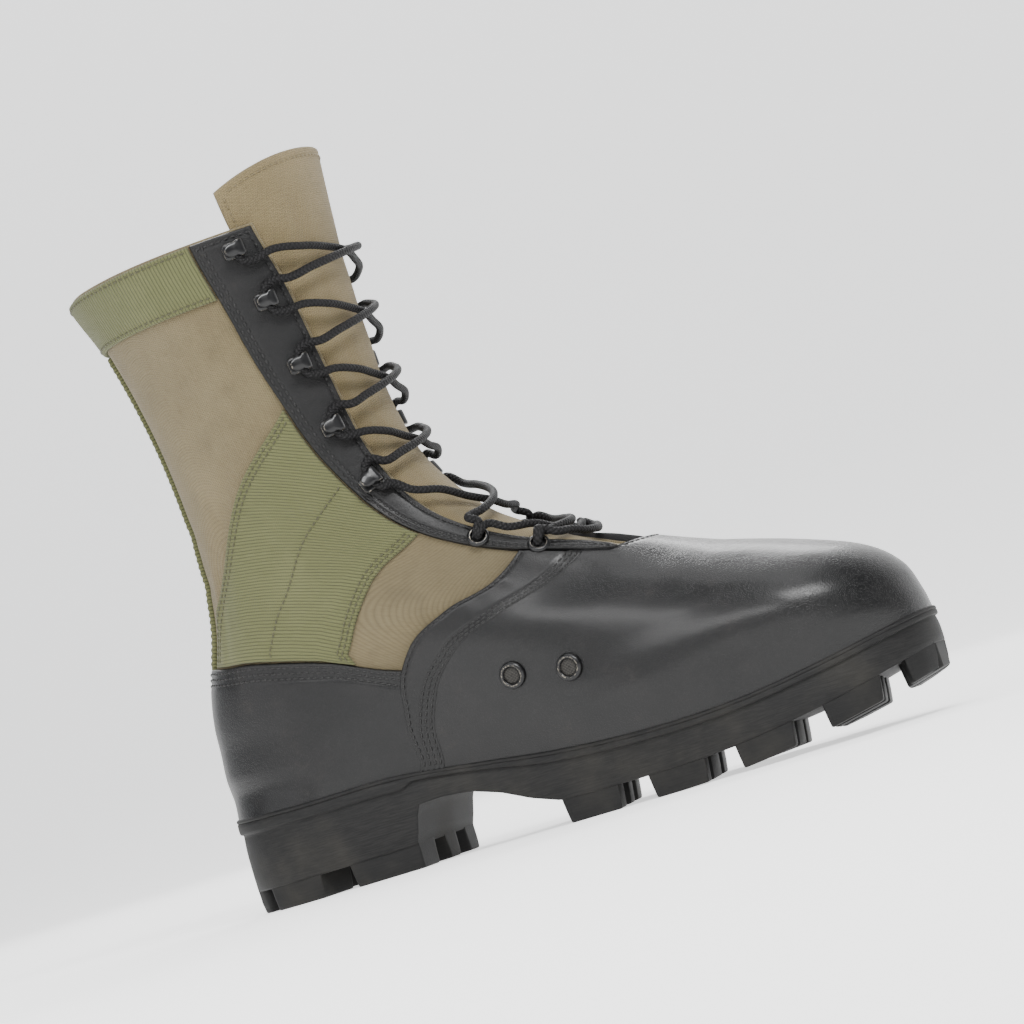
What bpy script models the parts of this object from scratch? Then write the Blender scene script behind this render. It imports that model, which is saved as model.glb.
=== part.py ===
"""Jungle boot for the left foot, built from its named sizes.

Frame: +X to the toe, +Y to the outer side, -Y to the inner side, +Z up.
Lengths in the tables are millimetres. Height zero is the floor under the heel and the ball.
"""
import bpy
import numpy as np

for item in list(bpy.data.objects):
    bpy.data.objects.remove(item, do_unlink=True)

# Driving sizes
MM = 0.001
SOLE_LENGTH = 310.0
LUG_DEPTH = 9.5
LUG_DRAFT = 1.1
LUG_ROOT = 2.0
SPRING_START = 195.0
TOE_SPRING = 17.0
BREAST_X = 85.0
BAR_START = 143.4
BAR_PITCH = 38.4
BAR_WIDTH = 22.9
BAR_SLANT = -0.204
FEATHER_INSET = 3.2
WALL = 2.2
CLEAR = 0.4
LAY = 0.8
LEATHER = 1.6
WEBBING = 1.3
TONGUE_THICK = 2.4
TONGUE_GAP = 1.1
INSOLE_THICK = 3.2
INSOLE_TOE_GAP = 11.5
HOOK_WIDTH = 7.0
LACE_RADIUS = 1.75
BACK_WEBBING_WIDTH = 25.0

# Sole outline: station along the boot, inner edge, outer edge
OUTLINE = np.array([
    # x      inner   outer
    [6.0, -17.0, 17.0],
    [20.0, -29.0, 29.0],
    [45.0, -35.0, 36.0],
    [85.0, -33.0, 37.5],
    [115.0, -29.5, 40.0],
    [153.0, -31.5, 47.0],
    [194.0, -39.5, 55.5],
    [217.0, -44.0, 57.5],
    [234.0, -46.0, 56.0],
    [256.0, -45.0, 50.0],
    [274.0, -41.0, 42.5],
    [293.0, -30.5, 31.0],
    [305.0, -17.5, 19.0],
])

# Top of the sole, where the upper stands
FEATHER = np.array([
    # x      z
    [0.0, 39.5],
    [40.0, 38.2],
    [85.0, 37.5],
    [120.0, 33.0],
    [150.0, 29.0],
    [195.0, 26.2],
    [235.0, 27.2],
    [270.0, 31.6],
    [310.0, 39.5],
])

# Underside between the lugs, without the toe spring
FLOOR = np.array([
    # x      z
    [0.0, 9.5],
    [85.0, 9.5],
    [89.4, 25.0],
    [100.0, 25.4],
    [112.0, 24.0],
    [124.0, 20.0],
    [136.0, 14.2],
    [148.0, 10.0],
    [160.0, 9.5],
    [310.0, 9.5],
])

# Side of the sole: share of the height, distance outwards from the outline
SIDE_STEPS = np.array([
    # share  out
    [0.00, -0.20],
    [0.50, -0.30],
    [0.80, -1.00],
    [0.83, 0.30],
    [0.97, 0.30],
    [1.00, -0.30],
])

SOLE_STATIONS = np.array([
    0.0, 1.6, 5.5, 11.5, 19.5, 30.0, 43.0, 57.0, 71.0, 85.0, 89.4, 100.0, 112.0, 124.0, 136.0, 148.0,
    160.0, 175.0, 190.0, 204.0, 217.0, 230.0, 243.0, 256.0, 268.0, 279.0, 289.0, 297.0, 303.2, 307.6, 310.0,
])

# Forefoot bars: where the two diagonal gaps cut each bar, at its rear and front edges
BARS = np.array([
    # inner lug   centre block inner  centre block outer  outer lug
    # rear front  rear front          rear front          rear front
    [-14.0, -16.0, 2.0, 1.0, 14.0, 17.5, 22.6, 30.0],
    [-23.0, -29.0, -4.0, -16.0, 19.0, 23.0, 38.0, 36.5],
    [-32.0, -32.0, -19.5, -20.0, 22.5, 19.6, 37.0, 30.5],
    [-32.0, -26.5, -19.0, -15.0, 11.5, 4.3, 28.0, 19.0],
])

# Lugs that follow no bar: corners on the ground, (x, y)
FREE_LUGS = {
    "heel_inner_front": [(55, -34.3), (85, -32.6), (85, -13.4), (59, -13.2)],
    "heel_inner_rear": [(14.9, -25.6), (26, -31.4), (39.8, -34.2), (45.2, -12.7), (32.3, -5)],
    "heel_middle": [(52.2, -3.1), (64.7, 11.9), (52.4, 20.2), (40.4, 4.4)],
    "heel_small": [(67, -1.7), (85, 0.8), (85, 13.5)],
    "heel_outer_front": [(72.1, 19.7), (85, 25.7), (85, 37.3), (69.2, 37.0), (60.1, 28.9)],
    "heel_rim": [
        (6.9, -12.8), (16.8, -4.2), (33.4, 11.3), (45.9, 23.4), (53.5, 33.3), (52.2, 36.2),
        (33.7, 33.5), (20.0, 28.8), (9.5, 20.5), (2.6, 10.2), (0.6, 0.5), (2.2, -8.7),
    ],
    "toe_inner": [(296, -17), (299.5, -24.0), (304.7, -17.5), (308.2, -10.0)],
    "toe_middle": [(294, -13), (309.0, -5.5), (309.3, 7.5), (289.5, 7.5)],
    "toe_outer": [(288.5, 12), (307.3, 13.0), (303.4, 20.5), (296, 28.0), (287.5, 33.0)],
}

# Upper, one slice per row, from just above the sole to above the collar
SLICES = np.array([
    # z back, z front, dip, x back, x front, y front, then half widths: inner heel, waist, ball, toe, outer same
    [48.0, 48.0, 8.5, 3.2, 305.5, 0.0, 32.0, 29.5, 42.0, 41.0, 33.0, 38.0, 53.0, 46.5],
    [58.0, 60.0, 9.0, 2.6, 301.0, -0.5, 32.0, 31.5, 42.0, 41.5, 33.8, 37.5, 51.0, 45.5],
    [69.0, 70.5, 7.5, 3.6, 288.5, -1.5, 32.0, 33.0, 40.0, 38.0, 34.0, 37.0, 48.0, 42.5],
    [80.0, 80.5, 5.0, 4.4, 263.0, -2.5, 31.8, 34.0, 38.0, 33.0, 33.8, 36.8, 43.5, 36.5],
    [92.0, 92.0, 3.5, 7.0, 227.0, -3.5, 31.4, 34.8, 36.0, 29.0, 33.0, 36.4, 39.5, 31.0],
    [105.0, 106.0, 1.5, 11.5, 194.0, -4.0, 31.0, 35.2, 35.0, 29.0, 32.4, 36.2, 36.2, 29.0],
    [120.0, 121.0, 0.5, 16.5, 167.0, -3.5, 31.0, 35.6, 34.5, 28.0, 32.0, 36.2, 35.0, 28.0],
    [139.0, 140.0, 0.0, 19.5, 143.0, -2.5, 31.4, 36.2, 34.0, 26.8, 32.0, 36.6, 34.5, 27.0],
    [166.0, 168.0, 0.0, 20.0, 125.5, -1.0, 32.0, 38.0, 35.0, 26.5, 32.4, 38.2, 35.5, 26.8],
    [202.0, 205.0, 0.0, 16.5, 119.0, 0.0, 33.2, 41.4, 37.5, 27.5, 33.2, 41.4, 37.7, 27.5],
    [239.0, 243.0, 0.0, 8.5, 118.5, 0.0, 35.5, 46.0, 41.5, 29.5, 35.5, 45.5, 41.5, 29.5],
    [266.0, 272.0, 0.0, -1.5, 119.5, 0.0, 39.0, 50.5, 45.0, 31.0, 38.0, 49.5, 44.5, 31.0],
    [298.0, 304.0, 0.0, -9.0, 122.0, 0.0, 42.0, 54.5, 48.0, 32.5, 41.0, 53.5, 47.5, 32.5],
])
SHARES = np.array([0.88, 0.68, 0.40, 0.15])
THROAT_FOOT = 5.6
UPPER_LEVELS = np.array([
    0, 0.4, 0.9, 1.5, 2.1, 2.7, 3.3, 3.9, 4.5, 5.1, 5.6, 6.0, 6.6, 7.2, 8.0, 8.8, 9.6, 10.4, 11.2, 12.0,
])
UPPER_COLUMNS = 54
FRONT_COLUMNS = 5

# Half the gap of the throat, by level of the slices
THROAT = np.array([
    # level  half gap
    [5.0, 14.0],
    [6.0, 18.0],
    [7.0, 22.5],
    [8.0, 24.0],
    [9.0, 25.0],
    [10.0, 27.5],
    [11.0, 32.0],
    [12.0, 37.0],
    [13.0, 41.0],
])

# Width of the eyestay, by level
EYESTAY = np.array([
    # level  width
    [5.5, 8.5],
    [6.2, 13.0],
    [7.2, 15.5],
    [8.0, 16.5],
    [8.8, 18.5],
    [9.6, 23.0],
    [10.4, 27.0],
    [11.2, 28.5],
    [12.0, 28.0],
])
EYESTAY_FOOT = 5.72
RIM = 11.97
BAND_FOOT = 11.1
EDGE_GAP = 0.7
VAMP_LIFT = 0.3
FOOT_LEVEL = 0.07

# Guide points on the sides of the boot, (x, z)
COUNTER_TOP = [(5, 104), (14, 103), (23, 102), (37, 100), (50, 97), (74, 90), (95, 81)]
COUNTER_FRONT = [(90, 46), (91, 60), (94, 81)]
STRIP_REAR = [(94.5, 45), (95.5, 60), (100, 77), (108, 87), (127, 96), (150, 102)]
STRIP_FRONT = [(105, 43), (108, 54), (115, 69), (129, 81), (149, 88), (172, 94)]
STRIP_TOP_LEVELS = (6.3, 5.68)
WEBBING_REAR = [(19, 103), (28, 124), (40, 142), (53, 164)]
WEBBING_FRONT = [(80, 91), (90, 105), (101, 117)]
WEBBING_TOP_LEVELS = (9.75, 7.5)

# Lacing: levels up the throat, distance outside its edge
HOOKS = np.array([
    # level  beyond
    [11.7, 12.5],
    [10.9, 11.5],
    [10.15, 10.5],
    [9.4, 9.5],
    [8.6, 9.0],
])
EYELETS = np.array([
    # level  beyond
    [6.95, 8.0],
    [6.25, 7.6],
])
EYELET_RADIUS = 4.6
EYELET_HOLE = 2.6
EYELET_HEIGHT = 1.0
VENTS = [(147, 64), (172, 60)]
VENT_RADIUS = 5.6
VENT_HEIGHT = 1.6

# Stations along the boot are drawn for a sole of 310 and follow the length that is set
STRETCH = SOLE_LENGTH / 310.0
for table in (OUTLINE, FEATHER, FLOOR):
    table[:, 0] *= STRETCH
SOLE_STATIONS *= STRETCH
SLICES[:, 3:5] *= STRETCH


def smooth(knots, values, at):
    """Cubic curve through table rows; the slope at a row is that of its two neighbours."""
    knots = np.asarray(knots, float)
    values = np.asarray(values, float)
    at = np.clip(np.asarray(at, float), knots[0], knots[-1])
    slope = np.gradient(values, knots, axis=0)
    row = np.clip(np.searchsorted(knots, at, side="right") - 1, 0, len(knots) - 2)
    step = knots[row + 1] - knots[row]
    t = (at - knots[row]) / step
    if values.ndim == 2:
        t = t[..., None]
        step = step[..., None]
    start = (1 + 2 * t) * (1 - t) ** 2 * values[row] + t * (1 - t) ** 2 * step * slope[row]
    end = t * t * (3 - 2 * t) * values[row + 1] + t * t * (t - 1) * step * slope[row + 1]
    return start + end


def around(angles, values, at):
    """Closed smooth curve over a full turn, the first row repeated at both ends."""
    knots = np.concatenate([[angles[-1] - 2 * np.pi], angles, [angles[0] + 2 * np.pi, angles[1] + 2 * np.pi]])
    rows = np.concatenate([[values[-1]], values, [values[0], values[1]]])
    return smooth(knots, rows, np.mod(at, 2 * np.pi))


def spring(x):
    """Rise of the ground face in front of the ball."""
    reach = np.clip((x - SPRING_START) / (SOLE_LENGTH - SPRING_START), 0, 1.1)
    return TOE_SPRING * reach ** 2


def floor_height(x):
    return np.interp(x, FLOOR[:, 0], FLOOR[:, 1]) + spring(x)


def feather_height(x):
    return smooth(FEATHER[:, 0], FEATHER[:, 1], x)


def outline(angle, out=0.0):
    """Edge of the sole: angle 0 at the toe, then the inner side, pi at the heel, then the outer side."""
    inner = OUTLINE[::-1]
    turn_in = np.arccos(2 * inner[:, 0] / SOLE_LENGTH - 1)
    turn_out = 2 * np.pi - np.arccos(2 * OUTLINE[:, 0] / SOLE_LENGTH - 1)
    angles = np.concatenate([[0.0], turn_in, [np.pi], turn_out])
    widths = np.concatenate([[1.0], inner[:, 1], [0.0], OUTLINE[:, 2]])

    def place(a):
        return np.stack([SOLE_LENGTH * (1 + np.cos(a)) / 2, around(angles, widths, a)], -1)

    here = place(angle)
    small = 0.004
    along = place(angle + small) - place(angle - small)
    along /= np.linalg.norm(along, axis=-1, keepdims=True)
    outward = np.stack([-along[..., 1], along[..., 0]], -1)
    return here + out * outward


def side_limits(x):
    """Inner and outer edge of the sole at a station."""
    turn = np.arccos(np.clip(2 * np.asarray(x, float) / SOLE_LENGTH - 1, -1, 1))
    return outline(turn)[..., 1], outline(2 * np.pi - turn)[..., 1]


def slice_rows(angle):
    """Points of every slice at the given angles: rows, angles, (x, y, z)."""
    share = (1 + np.cos(angle)) / 2
    turns = np.arccos(2 * SHARES - 1)
    angles = np.concatenate([[0.0], turns, [np.pi], 2 * np.pi - turns[::-1]])
    rows = []
    edge = outline(angle, -FEATHER_INSET)
    rows.append(np.stack([edge[..., 0], edge[..., 1], feather_height(edge[..., 0]) + CLEAR], -1))
    for z_back, z_front, dip, x_back, x_front, y_front, ih, iw, ib, it, oh, ow, ob, ot in SLICES:
        widths = np.array([y_front, -it, -ib, -iw, -ih, 0.0, oh, ow, ob, ot])
        x = x_back + share * (x_front - x_back)
        y = around(angles, widths, angle)
        z = z_back + share * (z_front - z_back) - dip * np.sin(np.pi * share) ** 2
        rows.append(np.stack([x, y, z], -1))
    return np.stack(rows)


def skin(angle, level):
    """The upper's outer face: angle as in the outline, level 0 at the sole to 12 at the collar."""
    rows = slice_rows(angle)
    last = len(rows) - 1
    slope = np.gradient(rows, axis=0)
    level = np.clip(level, 0, last)
    row = np.clip(level.astype(int), 0, last - 1)
    t = (level - row)[..., None]
    spot = np.indices(angle.shape)
    low = rows[(row, *spot)]
    high = rows[(row + 1, *spot)]
    low_slope = slope[(row, *spot)]
    high_slope = slope[(row + 1, *spot)]
    start = (1 + 2 * t) * (1 - t) ** 2 * low + t * (1 - t) ** 2 * low_slope
    end = t * t * (3 - 2 * t) * high + t * t * (t - 1) * high_slope
    return start + end


def skin_normal(angle, level):
    """Outward direction of the skin, level at the sole so that the foot of the wall stays flat."""
    turn = 0.02
    climb = 0.05
    across = skin(angle + turn, level) - skin(angle - turn, level)
    upward = skin(angle, level + climb) - skin(angle, np.maximum(level - climb, 0))
    normal = np.cross(upward, across)
    normal[..., 2] *= np.clip(level / 0.4, 0, 1)
    return normal / np.linalg.norm(normal, axis=-1, keepdims=True)


def surface(angle, level, out):
    """Point at a distance from the skin; positive is outwards."""
    angle, level, out = np.broadcast_arrays(np.asarray(angle, float), np.asarray(level, float), out)
    return skin(angle, level) + skin_normal(angle, level) * out[..., None]


def along_angle(level, first, outer_side=False, count=71, reach=1.6):
    """Angles from a first one towards the heel, and their distance along the skin, for one level."""
    angles = first + np.linspace(0, -reach if outer_side else reach, count)
    points = skin(angles, np.full(count, float(level)))
    steps = np.linalg.norm(np.diff(points, axis=0), axis=1)
    return angles, np.concatenate([[0], np.cumsum(steps)])


def throat_angle(level):
    """Angle of the throat's edge, from its half gap in millimetres."""
    half = smooth(THROAT[:, 0], THROAT[:, 1], level)
    found = []
    for one, gap in zip(np.ravel(level), np.ravel(half)):
        angles, _ = along_angle(one, 0.0)
        points = skin(angles, np.full(angles.shape, float(one)))
        found.append(np.interp(gap, points[0, 1] - points[:, 1], angles))
    return np.array(found).reshape(np.shape(level))


def edge_angle(level, beyond, outer_side=False):
    """Angle of a line that runs a given distance outside the throat's edge."""
    level, beyond = np.broadcast_arrays(np.asarray(level, float), beyond)
    base = throat_angle(level)
    if outer_side:
        base = 2 * np.pi - base
    found = []
    for one, first, distance in zip(level.ravel(), base.ravel(), beyond.ravel()):
        angles, run = along_angle(one, first, outer_side)
        found.append(np.interp(distance, run, angles))
    return np.array(found).reshape(level.shape)


def side_guide(points, count, outer_side=False, from_sole=False, end=None):
    """Angles and levels of a smooth line through (x, z) points seen from one side of the boot."""
    fine_angle, fine_level = np.meshgrid(np.linspace(0.02, np.pi, 420), np.linspace(0, 12, 361), indexing="ij")
    look = 2 * np.pi - fine_angle if outer_side else fine_angle
    seen = skin(look, fine_level)[..., [0, 2]]
    found = []
    for x, z in points:
        target = np.array([x * STRETCH, z])
        spot = np.unravel_index(np.argmin(((seen - target) ** 2).sum(-1)), fine_angle.shape)
        found.append((look[spot], fine_level[spot]))
    if from_sole:
        found[0] = (found[0][0], FOOT_LEVEL)
    if end is not None:
        found.append(tuple(end))
    found = np.array(found)
    places = skin(found[:, 0], found[:, 1])
    steps = np.concatenate([[0], np.cumsum(np.linalg.norm(np.diff(places, axis=0), axis=1))])
    return smooth(steps, found, np.linspace(0, steps[-1], count))


def fill(first, last, start, end):
    """Grid of angles and levels inside four edges: two side guides, a start row and an end row."""
    s = np.linspace(0, 1, len(first))[:, None, None]
    t = np.linspace(0, 1, len(start))[None, :, None]
    inside = (1 - t) * first[:, None] + t * last[:, None]
    inside = inside + (1 - s) * (start[None] - ((1 - t) * start[0] + t * start[-1]))
    inside = inside + s * (end[None] - ((1 - t) * end[0] + t * end[-1]))
    return inside[..., 0], inside[..., 1]


def eyestay_edge(levels, extra, outer_side=False):
    """Guide along the outer edge of the eyestay."""
    levels = np.asarray(levels, float)
    angle = edge_angle(levels, smooth(EYESTAY[:, 0], EYESTAY[:, 1], levels) + extra, outer_side)
    return np.column_stack([angle, levels])


def frame_at(angle, level, outer_side, out):
    """Place on the skin and its directions: away from the throat, up along its edge, outwards."""
    one = np.array([angle])
    row = np.array([level])
    normal = skin_normal(one, row)[0]
    up = (skin(one, row + 0.1) - skin(one, row - 0.1))[0]
    away = (skin(one + 0.02, row) - skin(one - 0.02, row))[0] * (-1 if outer_side else 1)
    up -= normal * np.dot(up, normal)
    up /= np.linalg.norm(up)
    away -= normal * np.dot(away, normal) + up * np.dot(away, up)
    away /= np.linalg.norm(away)
    return surface(one, row, out)[0], away, up, normal


def local(frame, away, up, out):
    place, a, u, n = frame
    return place + away * a + up * u + out * n


def material(name, colour, roughness):
    made = bpy.data.materials.new(name)
    made.use_nodes = True
    shader = made.node_tree.nodes["Principled BSDF"]
    shader.inputs["Base Color"].default_value = (*colour, 1.0)
    shader.inputs["Roughness"].default_value = roughness
    return made


def solid(name, points, faces, colour, roughness):
    """One closed mesh in metres with its own material."""
    mesh = bpy.data.meshes.new(name)
    mesh.from_pydata((np.asarray(points) * MM).tolist(), [], [tuple(face) for face in faces])
    mesh.validate()
    made = bpy.data.objects.new(name, mesh)
    bpy.context.collection.objects.link(made)
    mesh.materials.append(material(name, colour, roughness))
    return made


def grid_faces(rows, columns, first, flip=False):
    faces = []
    for i in range(rows - 1):
        for j in range(columns - 1):
            a = first + i * columns + j
            face = (a, a + 1, a + columns + 1, a + columns)
            faces.append(face[::-1] if flip else face)
    return faces


def sheet(low, high):
    """Closed solid between two grids of the same size: low face, high face and the four rims."""
    rows, columns = low.shape[:2]
    size = rows * columns
    points = np.concatenate([low.reshape(-1, 3), high.reshape(-1, 3)])
    faces = grid_faces(rows, columns, 0, True) + grid_faces(rows, columns, size)
    rim = [j for j in range(columns)]
    rim += [i * columns + columns - 1 for i in range(1, rows)]
    rim += [(rows - 1) * columns + j for j in range(columns - 2, -1, -1)]
    rim += [i * columns for i in range(rows - 2, 0, -1)]
    for a, b in zip(rim, rim[1:] + rim[:1]):
        faces.append((a, b, b + size, a + size))
    return points, faces


def facing(points, faces):
    """Faces turned round if the closed solid would be inside out."""
    volume = 0.0
    for face in faces:
        a = points[face[0]]
        for k in range(1, len(face) - 1):
            volume += np.dot(a, np.cross(points[face[k]], points[face[k + 1]]))
    return faces if volume > 0 else [tuple(face)[::-1] for face in faces]


def patch(name, angle, level, inner, outer, colour, roughness):
    """Overlay on the upper: a grid of angles and levels between two distances from the skin."""
    points, faces = sheet(surface(angle, level, inner), surface(angle, level, outer))
    return solid(name, points, facing(points, faces), colour, roughness)


def between(first, last, count):
    """Grid from one guide line to another."""
    t = np.linspace(0, 1, count)
    angle = first[0][:, None] * (1 - t) + last[0][:, None] * t
    level = first[1][:, None] * (1 - t) + last[1][:, None] * t
    return angle, level


BLACK_RUBBER = (0.018, 0.018, 0.019)
BLACK_LEATHER = (0.015, 0.015, 0.016)
KHAKI = (0.30, 0.24, 0.14)
OLIVE = (0.20, 0.22, 0.10)
TAN = (0.36, 0.29, 0.18)
BLACK_METAL = (0.02, 0.02, 0.02)
BLACK_CORD = (0.012, 0.012, 0.012)


def sole_body():
    """Sole without lugs: side rows round the outline, rungs across the top and the underside."""
    turn = np.arccos(2 * SOLE_STATIONS[::-1] / SOLE_LENGTH - 1)
    angles = np.concatenate([turn, 2 * np.pi - turn[-2:0:-1]])
    count = len(angles)
    centre = outline(angles)
    low = floor_height(centre[:, 0])
    high = feather_height(centre[:, 0])
    rows = []
    for share, out in SIDE_STEPS:
        edge = outline(angles, out)
        rows.append(np.column_stack([edge, low + share * (high - low)]))
    points = np.concatenate(rows)
    faces = []
    for r in range(len(rows) - 1):
        for i in range(count):
            j = (i + 1) % count
            faces.append((r * count + i, r * count + j, (r + 1) * count + j, (r + 1) * count + i))
    half = count // 2
    for first in (0, (len(rows) - 1) * count):
        cap = [(0, 1, count - 1)]
        cap += [(i, i + 1, count - i - 1, count - i) for i in range(1, half - 1)]
        cap += [(half - 1, half, half + 1)]
        cap = [tuple(first + k for k in face) for face in cap]
        faces += cap if first else [face[::-1] for face in cap]
    return points, facing(points, faces)


def lug(corners, breast=False):
    """Drafted lug: its corners on the ground, a wider root sunk into the sole."""
    corners = np.array(corners, float)
    inner, outer = side_limits(corners[:, 0])
    corners[:, 1] = np.clip(corners[:, 1], inner, outer)
    edge = np.roll(corners, -1, axis=0) - corners
    area = np.sum(corners[:, 0] * np.roll(corners[:, 1], -1) - np.roll(corners[:, 0], -1) * corners[:, 1])
    if area < 0:
        corners = corners[::-1]
        edge = np.roll(corners, -1, axis=0) - corners
    edge /= np.linalg.norm(edge, axis=1, keepdims=True)
    normal = np.stack([edge[:, 1], -edge[:, 0]], 1)
    mitre = normal + np.roll(normal, 1, axis=0)
    mitre /= np.maximum(np.sum(mitre * normal, axis=1, keepdims=True), 0.35)
    root = corners + LUG_DRAFT * mitre
    limit = BREAST_X * STRETCH - 0.1 if breast else SOLE_LENGTH - 1.6
    root[:, 0] = np.clip(root[:, 0], 1.6, limit)
    inner, outer = side_limits(root[:, 0])
    root[:, 1] = np.clip(root[:, 1], inner + 0.7, outer - 0.7)
    bottom = np.column_stack([corners, spring(corners[:, 0])])
    top = np.column_stack([root, spring(root[:, 0]) + LUG_DEPTH + LUG_ROOT])
    points = np.concatenate([bottom, top])
    count = len(corners)
    faces = [tuple(range(count))[::-1], tuple(range(count, 2 * count))]
    faces += [(i, (i + 1) % count, count + (i + 1) % count, count + i) for i in range(count)]
    return points, facing(points, faces)


def bar_lugs():
    """Three lugs of each forefoot bar, between the slanted rear and front edges of the bar."""
    made = []
    for k, gaps in enumerate(BARS):
        start = (BAR_START + BAR_PITCH * k) * STRETCH
        in_rear, in_front, mid_in_rear, mid_in_front, mid_out_rear, mid_out_front, out_rear, out_front = gaps

        def corner(y, forward):
            return (start + BAR_WIDTH * forward + BAR_SLANT * y, y)

        def edge_corners(side, shares):
            found = []
            for forward in shares:
                y = 40.0 * side
                for _ in range(6):
                    x = start + BAR_WIDTH * forward + BAR_SLANT * y
                    y = float(side_limits(x)[0 if side < 0 else 1])
                found.append((x, y))
            return found

        made.append(edge_corners(-1, (0, 0.5, 1)) + [corner(in_front, 1), corner(in_rear, 0)])
        made.append([corner(mid_in_rear, 0), corner(mid_in_front, 1), corner(mid_out_front, 1), corner(mid_out_rear, 0)])
        made.append([corner(out_rear, 0), corner(out_front, 1)] + edge_corners(1, (1, 0.5, 0)))
    return made


def join(parts):
    points = []
    faces = []
    start = 0
    for part_points, part_faces in parts:
        points.append(part_points)
        faces += [tuple(start + k for k in face) for face in part_faces]
        start += len(part_points)
    return np.concatenate(points), faces


def unite(target, tool):
    """Adds a tool solid to a target; the tool stays out of the part."""
    tool.hide_render = True
    tool.display_type = "WIRE"
    change = target.modifiers.new("joined_" + tool.name, "BOOLEAN")
    change.operation = "UNION"
    change.solver = "EXACT"
    change.object = tool


# The outsole
points, faces = sole_body()
outsole = solid("outsole", points, faces, BLACK_RUBBER, 0.75)
lug_parts = [lug(corners) for corners in bar_lugs()]
for key, corners in FREE_LUGS.items():
    lug_parts.append(lug([(x * STRETCH, y) for x, y in corners], key.startswith("heel")))
points, faces = join(lug_parts)
unite(outsole, solid("lug_shapes", points, faces, BLACK_RUBBER, 0.75))

# The insole: the outline drawn in, shortened so that it clears the toe wall
turn = np.arccos(np.linspace(1, -1, 25))
turns = np.concatenate([turn, 2 * np.pi - turn[-2:0:-1]])
edge = outline(turns, -(FEATHER_INSET + WALL + 2.0))
heel_end = edge[:, 0].min()
edge[:, 0] = heel_end + (edge[:, 0] - heel_end) * (SOLE_LENGTH - INSOLE_TOE_GAP - heel_end) / (edge[:, 0].max() - heel_end)
low = feather_height(edge[:, 0]) + CLEAR
bottom = np.column_stack([edge, low])
top = np.column_stack([edge, low + INSOLE_THICK])
count = len(turns)
faces = [(i, (i + 1) % count, count + (i + 1) % count, count + i) for i in range(count)]
for first in (0, count):
    cap = [(0, 1, count - 1)] + [(i, i + 1, count - i - 1, count - i) for i in range(1, count // 2 - 1)]
    cap += [(count // 2 - 1, count // 2, count // 2 + 1)]
    cap = [tuple(first + k for k in face) for face in cap]
    faces += cap if first else [face[::-1] for face in cap]
points = np.concatenate([bottom, top])
solid("insole", points, facing(points, faces), (0.10, 0.09, 0.08), 0.85)


def upper_shell():
    """Hollow upper: outer and inner face, open at the collar, along the throat and underneath."""
    levels = UPPER_LEVELS
    rows = len(levels)
    columns = UPPER_COLUMNS + 1
    foot = int(np.argmin(np.abs(levels - THROAT_FOOT)))
    slit = throat_angle(np.maximum(levels, THROAT_FOOT))
    angle = slit[:, None] + (2 * np.pi - 2 * slit[:, None]) * np.linspace(0, 1, columns)
    level = np.broadcast_to(levels[:, None], angle.shape)
    middle = np.linspace(-1, 1, FRONT_COLUMNS + 2)[1:-1]
    front_angle = np.broadcast_to(np.mod(slit[foot] * middle, 2 * np.pi), (foot + 1, FRONT_COLUMNS))
    front_level = np.broadcast_to(levels[:foot + 1, None], front_angle.shape)
    outer = np.concatenate([surface(angle, level, 0.0).reshape(-1, 3), surface(front_angle, front_level, 0.0).reshape(-1, 3)])
    inner = np.concatenate([surface(angle, level, -WALL).reshape(-1, 3), surface(front_angle, front_level, -WALL).reshape(-1, 3)])
    at_sole = list(range(columns)) + list(range(rows * columns, rows * columns + FRONT_COLUMNS))
    inner[at_sole, 2] = outer[at_sole, 2]
    size = len(outer)

    def ring(r):
        main = list(range(r * columns, (r + 1) * columns))
        if r > foot:
            return main
        first = rows * columns + r * FRONT_COLUMNS
        return main + list(range(first, first + FRONT_COLUMNS)) + [main[0]]

    faces = []
    for r in range(rows - 1):
        low = ring(r)
        high = ring(r + 1)
        for k in range(min(len(low), len(high)) - 1):
            faces.append((low[k], low[k + 1], high[k + 1], high[k]))
            faces.append((size + low[k], size + high[k], size + high[k + 1], size + low[k + 1]))
    sole_edge = ring(0)
    for a, b in zip(sole_edge, sole_edge[1:]):
        faces.append((b, a, size + a, size + b))
    rim = ring(rows - 1)
    rim += [r * columns + columns - 1 for r in range(rows - 2, foot, -1)]
    rim += ring(foot)[columns - 1:]
    rim += [r * columns for r in range(foot + 1, rows)]
    for a, b in zip(rim, rim[1:]):
        faces.append((a, b, size + b, size + a))
    return np.concatenate([outer, inner]), facing(np.concatenate([outer, inner]), faces)


points, faces = upper_shell()
solid("upper", points, faces, KHAKI, 0.85)

# The tongue: behind the throat, wider than the gap, its top above the collar
levels = np.array([4.9, 5.25, 5.6, 6.0, 6.4, 6.8, 7.2, 7.6, 8.0, 8.4, 8.8, 9.2, 9.6, 10.0, 10.4, 10.8, 11.2, 11.6, 12.2, 12.8])
across = np.linspace(-1, 1, 17)
reach = edge_angle(levels, np.interp(levels, [4.9, 7, 12.8], [5.0, 11.0, 9.0]))
angle = np.mod(reach[:, None] * across, 2 * np.pi)
level = levels[:, None] - 0.28 * np.clip((levels[:, None] - 11.6) / 1.2, 0, 1) * np.abs(across) ** 3
tongue_out = -(WALL + TONGUE_GAP)
points, faces = sheet(surface(angle, level, tongue_out), surface(angle, level, tongue_out - TONGUE_THICK))
solid("tongue", points, facing(points, faces), TAN, 0.85)


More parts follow.
